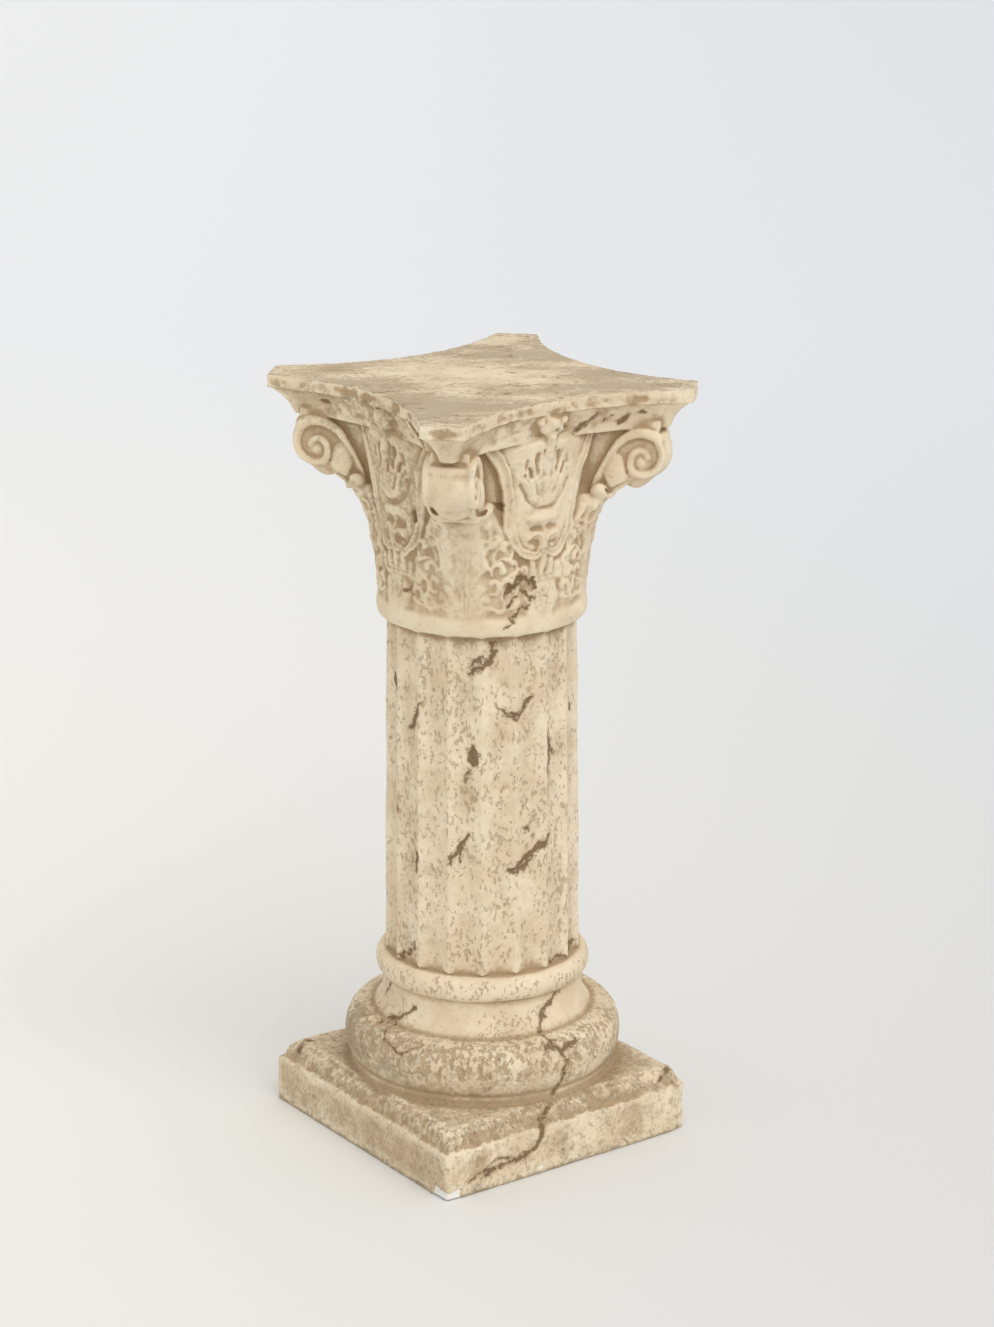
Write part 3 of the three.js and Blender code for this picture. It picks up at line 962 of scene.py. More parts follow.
@dataclass
class Fleuron:
    """The worn flower in the middle of each side of the abacus.

    Attributes:
        lumps: how far each lump lies to the side, how far out and how high, and its radius.
    """

    lumps: tuple[tuple[float, float, float, float], ...] = (
        (0.0, 113.0, 741.0, 8.5), (7.0, 114.0, 750.0, 4.6), (7.5, 111.5, 734.0, 5.6), (0.0, 111.5, 754.0, 5.6),
        (0.0, 109.0, 728.0, 6.5), (13.5, 114.0, 742.0, 3.8))

    def distance(self, lattice: Lattice, z: float) -> Array:
        """Measures to the flower in one quarter of a level.

        Args:
            lattice: the points.
            z: the level.

        Returns:
            Distances, negative inside.
        """
        whole = np.full(lattice.out.shape, 99.0)
        for along, out, level, size in self.lumps:
            lump = np.sqrt((lattice.along - along) ** 2 + (lattice.out - out) ** 2 + (z - level) ** 2) - size
            whole = join(whole, lump, 4.0)
        return whole


@dataclass
class Skin:
    """A surface of points and faces in mm.

    Attributes:
        points: places, one a row.
        quads: corners of each face, one face a row.
    """

    points: Array
    quads: Array

    @staticmethod
    def around(value: Array, origin: Array, step: float) -> "Skin":
        """Wraps the space where values are negative, with a point in each crossed cell.

        Args:
            value: distances at the lattice's points.
            origin: place of the first point.
            step: spacing of the points.

        Returns:
            The closed surface.
        """
        inside = value < 0
        some, all_in = inside, inside
        for axis in range(3):
            ahead, behind = neighbours(axis, slice(1, None), slice(None, -1))
            some, all_in = some[ahead] | some[behind], all_in[ahead] & all_in[behind]
        crossed = some & ~all_in
        cells = np.argwhere(crossed)
        number = np.full(crossed.shape, -1, np.int32)
        number[tuple(cells.T)] = np.arange(len(cells), dtype=np.int32)
        total = np.zeros((len(cells), 3))
        hits = np.zeros(len(cells))
        faces = []
        for axis in range(3):
            unit, one, two = np.roll(np.eye(3, dtype=int), -axis, 0)
            for shift in (0 * one, one, two, one + two):
                start = cells + shift
                a, b = value[tuple(start.T)], value[tuple((start + unit).T)]
                cut = (a < 0) != (b < 0)
                share = np.where(cut, a / np.where(cut, a - b, 1.0), 0.0)
                total[cut] += (shift + share[:, None] * unit)[cut]
                hits += cut
            ahead, behind = neighbours(axis, slice(1, None), slice(None, -1))
            edges = np.argwhere(inside[behind] != inside[ahead])
            edges = edges[(edges[:, (axis + 1) % 3] > 0) & (edges[:, (axis + 2) % 3] > 0)]
            ring = np.stack([number[tuple((edges - shift).T)] for shift in (one + two, two, 0 * one, one)], 1)
            out = inside[tuple(edges.T)]
            faces.append(np.where(out[:, None], ring, ring[:, ::-1]))
        points = origin + (cells + total / hits[:, None]) * step
        return Skin(points, np.vstack(faces))

    def normals(self) -> Array:
        """The outward direction at each point, one a row."""
        a, b, c, d = (self.points[self.quads[:, k]] for k in range(4))
        face = np.cross(c - a, d - b)
        total = np.zeros_like(self.points)
        for axis in range(3):
            for k in range(4):
                total[:, axis] += np.bincount(self.quads[:, k], face[:, axis], len(self.points))
        return total / np.maximum(np.linalg.norm(total, axis=1, keepdims=True), 1e-9)


@dataclass(frozen=True)
class Vein:
    """A crack or stain that runs over the stone.

    Attributes:
        path: angle and height pairs, or places in space for one on the plinth or the abacus.
        width: half its width in mm.
        depth: how deep it is cut in mm.
    """

    path: tuple[tuple[float, ...], ...]
    width: float
    depth: float


VEINS = (
    Vein(((-22, 571), (-18, 585), (-13, 589), (-8, 586), (-5, 577)), 1.6, 2.4),
    Vein(((-6, 566), (-9, 573), (-14, 577)), 1.4, 1.8),
    Vein(((-21, 563), (-17, 571), (-12, 580)), 1.0, 1.6),
    Vein(((-9, 563), (-15, 556), (-20, 548), (-25, 540)), 1.0, 0.9),
    Vein(((-27, 664), (-25, 659)), 2.2, 2.0),
    Vein(((-73, 650), (-74, 642)), 2.8, 2.6),
    Vein(((-79, 572), (-82, 569)), 2.4, 1.6),
    Vein(((-105, 474), (-102, 465)), 3.0, 1.6),
    Vein(((-75, 460), (-78, 450), (-80, 440), (-85, 430)), 1.8, 1.8),
    Vein(((-29, 524), (-28, 514), (-32, 506), (-37, 500), (-42, 491)), 1.9, 1.6),
    Vein(((-33, 512), (-38, 506), (-42, 500)), 1.2, 1.0),
    Vein(((-26, 459), (-22, 454), (-14, 450), (-11, 453), (-7, 461), (-3, 467)), 1.2, 2.2),
    Vein(((-18, 452), (-15, 448)), 1.6, 1.6),
    Vein(((-41, 419), (-40, 410), (-39, 402)), 3.0, 2.4),
    Vein(((-40, 402), (-43, 390), (-44, 384)), 0.8, 0.8),
    Vein(((8, 430), (10, 415), (10, 400), (7, 388)), 1.5, 0.9),
    Vein(((14, 409), (14, 402)), 2.2, 1.2),
    Vein(((34, 446), (35, 440)), 2.2, 1.6),
    Vein(((-97, 352), (-97, 340)), 1.3, 1.6),
    Vein(((-77, 308), (-78, 297), (-79, 285)), 1.7, 1.6),
    Vein(((-43, 331), (-46, 324), (-50, 317), (-54, 305)), 1.9, 2.0),
    Vein(((-45, 322), (-48, 312), (-49, 305)), 1.5, 1.6),
    Vein(((9, 322), (3, 315), (-3, 309), (-9, 303), (-18, 295)), 2.4, 2.0),
    Vein(((-4, 304), (-9, 296), (-16, 292)), 1.8, 1.6),
    Vein(((-6, 331), (-11, 335)), 1.6, 1.2),
    Vein(((-84, 208), (-81, 211), (-78, 207), (-81, 203), (-84, 208)), 0.9, 1.2),
    Vein(((-83, 202), (-88, 195), (-95, 188)), 1.1, 1.2),
    Vein(((28, 192), (34, 195), (40, 197)), 2.6, 1.2),
    Vein(((10, 191), (16, 192), (22, 190)), 1.6, 0.8),
    Vein(((-103, 159), (-105, 152), (-107, 147), (-110, 141)), 0.9, 1.8),
    Vein(((-76, 145), (-79, 141), (-84, 135), (-90, 130), (-95, 127)), 1.3, 1.4),
    Vein(((-90, 130), (-87, 124), (-85, 118), (-78, 115), (-72, 114), (-67, 112), (-65, 117), (-60, 122)),
         0.8, 1.6),
    Vein(((15, 160), (10, 154), (5, 148), (2, 142), (0, 135), (-5, 128)), 1.5, 1.6),
    Vein(((2, 142), (-1, 140), (3, 137)), 2.0, 1.6),
    Vein(((-5, 128), (-3, 122), (0, 118), (1, 110), (3, 103), (1, 95), (0, 85), (-2, 72)), 0.8, 1.5),
    Vein(((-6, 120), (4, 116), (10, 119)), 2.0, 0.8),
)


CRACKS = (
    Vein(((-2, -135, 80), (-7, -131, 72), (-14, -136, 66), (-22, -141, 60), (-32, -145, 53)), 1.7, 2.2),
    Vein(((-24, -142, 59), (-32, -146, 52), (-34, -150, 45), (-38, -151, 34)), 2.3, 2.4),
    Vein(((-38, -151, 33), (-46, -151, 28), (-57, -151, 23), (-70, -152, 22), (-86, -152, 20), (-98, -152, 17),
          (-107, -152, 15)), 1.9, 1.8),
    Vein(((-48, -151, 27), (-60, -152, 27), (-68, -152, 24), (-80, -152, 28), (-90, -152, 30), (-97, -152, 26),
          (-103, -152, 22)), 0.9, 1.2),
    Vein(((-84, -152, 24), (-95, -152, 21), (-110, -152, 20), (-122, -152, 14)), 1.3, 1.4),
    Vein(((-137, 127, 62), (-143, 124, 57)), 3.2, 2.4),
    Vein(((-123, 126, 66), (-128, 129, 65)), 2.2, 1.4),
    Vein(((117, -141, 56), (126, -138, 60), (135, -132, 64)), 1.8, 2.6),
    Vein(((128, -142, 57), (134, -146, 50), (137, -149, 42)), 1.6, 2.0),
    Vein(((3, -116, 733), (11, -112, 733), (19, -111, 733)), 1.5, 1.4),
    Vein(((28, -110, 725), (31, -110, 728), (39, -113, 734), (52, -119, 742)), 1.9, 2.4),
    Vein(((58, -117, 733), (66, -121, 739)), 1.1, 1.0),
    Vein(((75, -119, 730), (79, -122, 735), (82, -125, 739)), 1.9, 2.2),
    Vein(((88, -129, 740), (96, -131, 740)), 1.3, 1.4),
    Vein(((-127, 85, 740), (-124, 77, 740)), 1.8, 1.2),
    Vein(((-121, -57, 748), (-119, -62, 740), (-120, -70, 731), (-118, -74, 724)), 2.6, 2.6),
    Vein(((-118, -43, 745), (-116, -48, 738)), 1.4, 1.2),
)


@dataclass
class Weathering:
    """What time and the mould did to the stone: waves, chips, pits, cracks, stains and dirt, with painted shade on
    the shaded left side and a painted contact shadow at the plinth's foot.

    Attributes:
        seed: picks the patterns.
        hidden_veins: how many veins are made up for the sides that the photograph doesn't show.
    """

    seed: int = 7
    hidden_veins: int = 26

    def __post_init__(self) -> None:
        """Sets out the noise and the veins of the hidden sides."""
        self.noise = Noise(self.seed)
        self.chips = Noise(self.seed + 1)
        self.fine = Noise(self.seed + 2)
        picks = np.random.default_rng(self.seed + 3)
        made = []
        for _ in range(self.hidden_veins):
            angle, z = picks.uniform(62.0, 240.0), picks.uniform(90.0, 700.0)
            lean = picks.uniform(-0.5, 0.9)
            path = [(angle, z)]
            for _ in range(picks.integers(1, 5)):
                step = picks.uniform(5.0, 11.0)
                path.append((path[-1][0] + lean * step + picks.normal(0, 1.5), path[-1][1] - step))
            made.append(Vein(tuple(path), picks.uniform(0.9, 2.6), picks.uniform(0.8, 2.0)))
        self.veins = (*VEINS, *made)

    @staticmethod
    def around(points: Array) -> tuple[Array, Array]:
        """Gives each point's angle in degrees from -130 to 230, and its radius."""
        angle = np.degrees(np.arctan2(points[:, 0], -points[:, 1]))
        return np.where(angle < -130.0, angle + 360.0, angle), np.hypot(points[:, 0], points[:, 1])

    def vein_gap(self, points: Array, deepest: bool) -> Array:
        """Measures to the nearest vein's edge, or works out how deep the veins cut.

        Args:
            points: places in mm, one a row.
            deepest: True for the cut's depth, False for the distance.

        Returns:
            Depths in mm, or distances in mm that are negative inside a vein.
        """
        angle, radius = self.around(points)
        z = points[:, 2]
        shift_a = 3.2 * self.fine.at(points, 7.0) + 1.6 * self.fine.at(points + 50, 3.0)
        shift_z = 3.2 * self.fine.at(points + 91, 7.0) + 1.6 * self.fine.at(points + 17, 3.0)
        result = np.zeros(len(points)) if deepest else np.full(len(points), 12.0)
        for vein in (*self.veins, *CRACKS):
            path = np.array(vein.path, float)
            if path.shape[1] == 2:
                near, gap, along = self.round_gap(angle, radius, z, path, shift_a, shift_z)
            else:
                near, gap, along = self.space_gap(points, path)
                gap = np.maximum(gap + 0.35 * shift_a[near], 0.0)
            width = 1.35 * vein.width * (0.55 + 0.45 * np.sin(np.pi * np.clip(along, 0.04, 0.96)))
            if deepest:
                cut = 0.42 * vein.depth * np.exp(-((gap / (width + 0.5)) ** 2))
                result[near] = np.maximum(result[near], cut)
            else:
                result[near] = np.minimum(result[near], gap - width)
        return result

    @staticmethod
    def round_gap(angle: Array, radius: Array, z: Array, path: Array, shift_a: Array,
                  shift_z: Array) -> tuple[Array, Array, Array]:
        """Measures to a vein that is given by angles and heights.

        Args:
            angle: angles of all the points.
            radius: radii of all the points.
            z: heights of all the points.
            path: the vein's angle and height pairs.
            shift_a: how far each point is shifted round in mm, which makes the vein ragged.
            shift_z: how far each point is shifted up in mm.

        Returns:
            Numbers of the points near it, their distances, and how far along they lie.
        """
        low, high = path.min(0) - (10.0, 14.0), path.max(0) + (10.0, 14.0)
        near = np.flatnonzero((z > low[1]) & (z < high[1]) & (angle > low[0]) & (angle < high[0]))
        scale = DEGREE * np.clip(radius[near], 95.0, 140.0)
        middle = path[:, 0].mean()
        line = path.copy()
        line[:, 0] = (line[:, 0] - middle) * DEGREE * (134.0 if path[0, 1] < 125 else 101.0)
        gap, along = line_distance((angle[near] - middle) * scale + shift_a[near], z[near] + shift_z[near], line)
        return near, gap, along

    @staticmethod
    def space_gap(points: Array, path: Array) -> tuple[Array, Array, Array]:
        """Measures to a line in space.

        Args:
            points: places in mm, one a row.
            path: the line's points, one a row.

        Returns:
            Numbers of the points near it, their distances, and how far along they lie.
        """
        low, high = path.min(0) - 14.0, path.max(0) + 14.0
        near = np.flatnonzero(np.all((points > low) & (points < high), axis=1))
        best, along = np.full(len(near), 1e9), np.zeros(len(near))
        for k, (start, end) in enumerate(zip(path, path[1:])):
            step = end - start
            share = np.clip((points[near] - start) @ step / (step @ step), 0.0, 1.0)
            gap = np.linalg.norm(points[near] - start - share[:, None] * step, axis=1)
            along = np.where(gap < best, (k + share) / (len(path) - 1), along)
            best = np.minimum(best, gap)
        return near, best, along

    def worn(self, skin: Skin) -> Array:
        """Moves a skin's points as wear has.

        Args:
            skin: the fresh stone.

        Returns:
            The worn points in mm, one a row.
        """
        points, normals = skin.points, skin.normals()
        z = points[:, 2]
        reach = np.maximum(np.abs(points[:, 0]), np.abs(points[:, 1]))
        _, radius = self.around(points)
        move = 0.5 * self.noise.layered(points, 34.0) + 0.26 * self.noise.layered(points + 11, 9.0, 2)
        shaft = band(z, 190, 200, 520, 530)
        move += 0.55 * shaft * self.noise.layered(points * (1, 1, 0.5), 13.0, 3)
        plinth = fade(z, 64.0, 67.5)
        bevel = plinth * smooth_step(z, 44, 50)
        rough = self.chips.layered(points, 16.0, 4)
        move -= bevel * (0.5 + 1.6 * np.clip(rough + 0.1, 0, 1) + 0.6 * self.fine.at(points, 3.2))
        move -= 0.35 * plinth * (1 - bevel) * (self.fine.layered(points, 8.0, 2) + 0.4)
        edge = plinth * smooth_step(reach, 142, 148)
        corner = smooth_step(np.minimum(np.abs(points[:, 0]), np.abs(points[:, 1])), 136, 148) * plinth
        move -= 1.6 * corner * np.clip(rough + 0.3, 0, 1) + 0.5 * edge * np.clip(rough, 0, 1)
        top = smooth_step(z, 756, 760) * smooth_step(normals[:, 2], 0.5, 0.9)
        move -= top * (0.25 + 0.8 * np.clip(self.slate(points), 0, 1))
        rim = smooth_step(z, 747, 751) * (1 - top)
        wave = self.noise.at(points + 33, 24.0)
        crumbs = self.fine.layered(points, 6.0, 2)
        move -= rim * (0.4 + 0.9 * wave + 2.4 * np.clip(rough + 0.15, 0, 1) + 1.7 * np.clip(crumbs, -0.2, 1))
        capital = smooth_step(z, 556, 566) * (1 - top) * (1 - rim)
        move += 0.55 * capital * self.chips.layered(points + 5, 8.0, 3)
        eroded = smooth_step(z, 722, 726) * fade(radius, 124, 150) * (1 - top)
        move -= 1.8 * eroded * self.chips.layered(points * (1, 1, 1.6), 10.0, 3)
        pits = np.clip(self.fine.at(points * (1, 1, 0.7), 2.6) - 0.42, 0, 1)
        move -= 2.4 * self.pitting(points) * pits + 1.4 * self.chalk(points) + self.vein_gap(points, True)
        return points + normals * move[:, None]

    def chalk(self, points: Array) -> Array:
        """How freshly broken the plinth is at each point, from 0 to 1: its near corner and a scrape."""
        ragged = self.fine.layered(points, 9.0, 3)
        nearest = np.hypot(points[:, 0] + 149, points[:, 1] + 149) + 5.0 * ragged
        corner = fade(nearest, 12, 21) * fade(points[:, 2] + 5.0 * ragged, 6, 13)
        line = np.array([(-70.0, -149.0, 1.0), (-52.0, -149.0, 4.0), (-34.0, -149.0, 7.0)])
        near, gap, _ = self.space_gap(points, line)
        corner[near] = np.maximum(corner[near], 0.8 * fade(gap + 2.5 * ragged[near], 0.6, 2.6))
        return corner

    def soil_and_painted_shade(self, points: Array, normals: Array) -> Array:
        """How much dirt and painted shade lie at each point, from 0 to 1: dirt on the plinth, the torus and the
        capital, painted shade on the shaded left side of the torus and the capital, and a painted contact shadow
        at the plinth's foot.
        """
        z = points[:, 2]
        up = smooth_step(normals[:, 2], 0.35, 0.9)
        plinth = fade(z, 66, 70)
        bevel = plinth * smooth_step(z, 47, 52)
        # Dirt on the plinth, darker towards the bottom, with a painted contact shadow in its lowest 3 mm.
        soil_and_painted_shade = plinth * (0.25 + 0.16 * fade(z, 0, 14) + 0.4 * fade(z, 1, 3))
        soil_and_painted_shade = soil_and_painted_shade + bevel * (0.20 - 0.06 * up)
        # A darker band round the foot of the base, from just above the plinth up under the torus.
        foot = band(z, 68, 74, 72, 92)
        torus = band(z, 74, 88, 122, 134)
        angle, _ = self.around(points)
        # Painted shade on the shaded left side of the capital and the torus.
        left = band(-angle, 52, 82, 115, 150)
        capital = band(z, 556, 570, 752, 760)
        blotch = self.noise.layered(points * (1, 1, 0.6) + 9, 28.0, 3)
        soil_and_painted_shade = soil_and_painted_shade + capital * np.clip(0.11 + 0.16 * left + 0.2 * blotch, 0, 1)
        # Adds the darker band at the foot, and on the torus dirt in blotches with painted shade on its left side.
        return soil_and_painted_shade + 0.32 * foot + torus * (0.31 + 0.3 * left + 0.3 * blotch)

    def slate(self, points: Array) -> Array:
        """Long low streaks across the top, from -1 to 1, one a point."""
        turn = math.radians(-35.3)
        along = points[:, 0] * math.cos(turn) + points[:, 1] * math.sin(turn)
        over = -points[:, 0] * math.sin(turn) + points[:, 1] * math.cos(turn)
        place = np.stack([along / 3.2, over, points[:, 2] * 0.3], 1)
        return 0.7 * self.chips.at(place, 14.0) + 0.4 * self.chips.at(place + 20, 5.5)

    def pitting(self, points: Array) -> Array:
        """How thickly pits lie at each point, from 0 to 1."""
        angle, _ = self.around(points)
        z = points[:, 2]
        patches = smooth_step(self.noise.at(points * (1, 1, 0.4) + 70, 30.0), -0.5, 0.5)
        shaft = band(z, 186, 196, 528, 534) * (0.5 + 0.4 * patches)
        torus = band(z, 84, 98, 122, 132) * (1.0 + 0.3 * patches)
        neck = band(z, 126, 131, 146, 158) * 0.7 * patches
        rings = band(z, 160, 166, 182, 186) * 0.85
        plinth = fade(z, 64, 68) * (0.35 + 0.6 * smooth_step(z, 46, 51))
        capital = band(z, 553, 560, 590, 640) * 0.45 * patches
        front = 0.75 + 0.25 * np.cos(np.radians(angle + 40.0))
        return np.clip(shaft + torus + neck + rings + capital + plinth, 0, 1.2) * front


@dataclass(frozen=True)
class CastStone:
    """The stone's finish: cream paint worn over a brown wash, with pits and veins, and with painted shade in
    hollows and on the shaded left side, and a painted highlight on raised edges.

    Attributes:
        slot: the record's name for it.
        cream: the open surface.
        pale: the lighter mottling, and the rubbed paint with a painted highlight on raised edges.
        brown: the cloudy patches, the vein halos, and the wash in hollows, which also carries painted shade in the
            hollows and on the capital's shaded left side.
        pit: the filling of the pits.
        vein: the dark filling of the veins.
        soil_and_painted_shade: the dirt on the plinth, torus and capital, also the colour of the painted shade on
            the left side of the torus and the capital and of the painted contact shadow along the plinth's foot.
        slate: the grey-brown streaks on the top.
        chalk: fresh broken plaster.
        roughness: how dull the surface is.
    """

    slot: str = "cast_stone"
    cream: Colour = (0.755, 0.62, 0.44)
    pale: Colour = (0.865, 0.745, 0.555)
    brown: Colour = (0.40, 0.275, 0.15)
    pit: Colour = (0.44, 0.31, 0.18)
    vein: Colour = (0.20, 0.13, 0.06)
    soil_and_painted_shade: Colour = (0.37, 0.292, 0.19)
    slate: Colour = (0.40, 0.32, 0.21)
    chalk: Colour = (0.88, 0.86, 0.82)
    roughness: float = 0.86

    def material(self) -> bpy.types.Material:
        """Builds the finish.

        Returns:
            The material, ready for a mesh that has the stone's attributes.
        """
        made = bpy.data.materials.new(self.slot)
        made.use_nodes = True
        nodes = Nodes(made.node_tree)
        shader = next(n for n in made.node_tree.nodes if n.type == "BSDF_PRINCIPLED")
        place = nodes.add("ShaderNodeTexCoord").outputs["Object"]
        mottle = nodes.noise(place, 22.0, 4.0, 0.55)
        cloud = nodes.noise(place, 90.0, 5.0, 0.6)
        open_face = nodes.mix(nodes.ramp(mottle, 0.36, 0.66), self.cream, self.pale)
        open_face = nodes.mix(nodes.scaled(nodes.ramp(cloud, 0.5, 0.7), 0.14), open_face, self.brown)
        # Brown wash with painted shade in the hollows; where hollow falls below 0 on raised edges, the pale gives
        # rubbed paint with a painted highlight.
        hollow = nodes.attribute("hollow")
        fine = nodes.noise(place, 260.0, 3.0, 0.6)
        wash_and_painted_shade = nodes.sum(hollow, nodes.scaled(nodes.sum(fine, -0.5), 0.22))
        rubbed = nodes.ramp(nodes.scaled(wash_and_painted_shade, -1.0), 0.05, 0.30)
        colour = nodes.mix(nodes.scaled(nodes.ramp(wash_and_painted_shade, 0.05, 0.42), 0.85), open_face, self.brown)
        colour = nodes.mix(nodes.scaled(rubbed, 0.75), colour, self.pale)
        patch = nodes.scaled(nodes.sum(nodes.sum(cloud, nodes.scaled(fine, 0.8)), -0.9), 1.4)
        # Dirt, with painted shade on the shaded left side of the torus and capital and a painted contact shadow
        # along the plinth's foot.
        soil_and_painted_shade = nodes.attribute("soil_and_painted_shade")
        soil_and_painted_shade = nodes.sum(soil_and_painted_shade, nodes.scaled(patch, nodes.ramp(soil_and_painted_shade, 0.02, 0.3)))
        colour = nodes.mix(nodes.scaled(nodes.ramp(soil_and_painted_shade, 0.1, 0.85), 0.85), colour, self.soil_and_painted_shade)
        slate = nodes.place(Effects.slate(), Place=place, Amount=nodes.attribute("top"))
        colour = nodes.mix(nodes.scaled(slate.outputs["Stain"], 0.72), colour, self.slate)
        colour = nodes.mix(nodes.scaled(slate.outputs["Crack"], 0.75), colour, self.vein)
        pits = nodes.place(Effects.pits(), Place=place, Density=nodes.attribute("pitting"))
        colour = nodes.mix(nodes.scaled(pits.outputs["Mask"], 0.58), colour, self.pit)
        vein = nodes.place(Effects.vein(), Place=place, Distance=nodes.attribute("vein"))
        colour = nodes.mix(nodes.scaled(vein.outputs["Halo"], 0.5), colour, self.brown)
        colour = nodes.mix(nodes.scaled(vein.outputs["Core"], 0.85), colour, self.vein)
        chip = nodes.sum(nodes.attribute("chip"), nodes.scaled(nodes.sum(fine, -0.5), 0.7))
        colour = nodes.mix(nodes.ramp(chip, 0.42, 0.56), colour, self.chalk)
        nodes.link(colour, shader.inputs["Base Color"])
        grain = nodes.place(Effects.grain(), Place=place)
        height = nodes.sum(grain.outputs["Height"], nodes.scaled(pits.outputs["Mask"], -0.8))
        height = nodes.sum(height, nodes.scaled(vein.outputs["Core"], -0.9))
        bump = nodes.add("ShaderNodeBump")
        bump.inputs["Strength"].default_value = 0.75
        bump.inputs["Distance"].default_value = 0.0011
        nodes.link(height, bump.inputs["Height"])
        nodes.link(bump.outputs["Normal"], shader.inputs["Normal"])
        shader.inputs["Roughness"].default_value = self.roughness
        shader.inputs["Specular IOR Level"].default_value = 0.22
        return made


class Nodes:
    """Short ways to add shader nodes to a tree."""

    def __init__(self, tree: bpy.types.NodeTree) -> None:
        """Keeps the tree.

        Args:
            tree: where nodes are added.
        """
        self.tree = tree

    def add(self, kind: str) -> bpy.types.Node:
        """Adds a node of that kind."""
        return self.tree.nodes.new(kind)

    def link(self, value: object, socket: Socket) -> None:
        """Feeds a socket from an output, or sets it.

        Args:
            value: an output, a number or a colour.
            socket: the input.
        """
        if isinstance(value, Socket):
            self.tree.links.new(value, socket)
        elif isinstance(value, tuple):
            socket.default_value = (*value, 1.0) if len(value) == 3 else value
        else:
            socket.default_value = value

    def math(self, operation: str, one: object, other: object) -> Socket:
        """Combines two values.

        Args:
            operation: what is done to them.
            one: first value.
            other: second value.

        Returns:
            The result's socket.
        """
        node = self.add("ShaderNodeMath")
        node.operation = operation
        self.link(one, node.inputs[0])
        self.link(other, node.inputs[1])
        return node.outputs[0]

    def sum(self, one: object, other: object) -> Socket:
        """Adds two values."""
        return self.math("ADD", one, other)

    def scaled(self, value: object, factor: object) -> Socket:
        """Multiplies two values."""
        return self.math("MULTIPLY", value, factor)

    def ramp(self, value: object, low: float, high: float) -> Socket:
        """Eases a value from 0 at low to 1 at high.

        Args:
            value: what is eased.
            low: the value that gives 0.
            high: the value that gives 1.

        Returns:
            The result's socket.
        """
        node = self.add("ShaderNodeMapRange")
        node.interpolation_type = "SMOOTHSTEP"
        self.link(value, node.inputs["Value"])
        node.inputs["From Min"].default_value = low
        node.inputs["From Max"].default_value = high
        return node.outputs["Result"]

    def mix(self, share: object, one: object, other: object) -> Socket:
        """Mixes two colours.

        Args:
            share: how much of the second.
            one: first colour.
            other: second colour.

        Returns:
            The mixed colour's socket.
        """
        node = self.add("ShaderNodeMix")
        node.data_type = "RGBA"
        self.link(share, node.inputs[0])
        self.link(one, node.inputs[6])
        self.link(other, node.inputs[7])
        return node.outputs[2]

    def noise(self, place: object, scale: float, detail: float, rough: float) -> Socket:
        """Adds noise.

        Args:
            place: coordinates in metres.
            scale: waves to a metre.
            detail: how many finer layers.
            rough: how strong those are.

        Returns:
            The noise's socket, from 0 to 1.
        """
        node = self.add("ShaderNodeTexNoise")
        self.link(place, node.inputs["Vector"])
        node.inputs["Scale"].default_value = scale
        node.inputs["Detail"].default_value = detail
        node.inputs["Roughness"].default_value = rough
        return node.outputs["Fac"]

    def dot(self, place: object, way: tuple[float, float, float]) -> Socket:
        """Measures a place along a direction.

        Args:
            place: coordinates.
            way: the direction.

        Returns:
            The distance's socket.
        """
        node = self.add("ShaderNodeVectorMath")
        node.operation = "DOT_PRODUCT"
        self.link(place, node.inputs[0])
        node.inputs[1].default_value = way
        return node.outputs["Value"]

    def attribute(self, name: str) -> Socket:
        """Reads a number that the mesh carries."""
        node = self.add("ShaderNodeAttribute")
        node.attribute_name = name
        return node.outputs["Fac"]

    def place(self, group: bpy.types.NodeTree, **values: object) -> bpy.types.Node:
        """Puts a node group in the tree.

        Args:
            group: the effect.
            values: what its inputs take, by name.

        Returns:
            The group's node.
        """
        node = self.add("ShaderNodeGroup")
        node.node_tree = group
        for name, value in values.items():
            self.link(value, node.inputs[name])
        return node


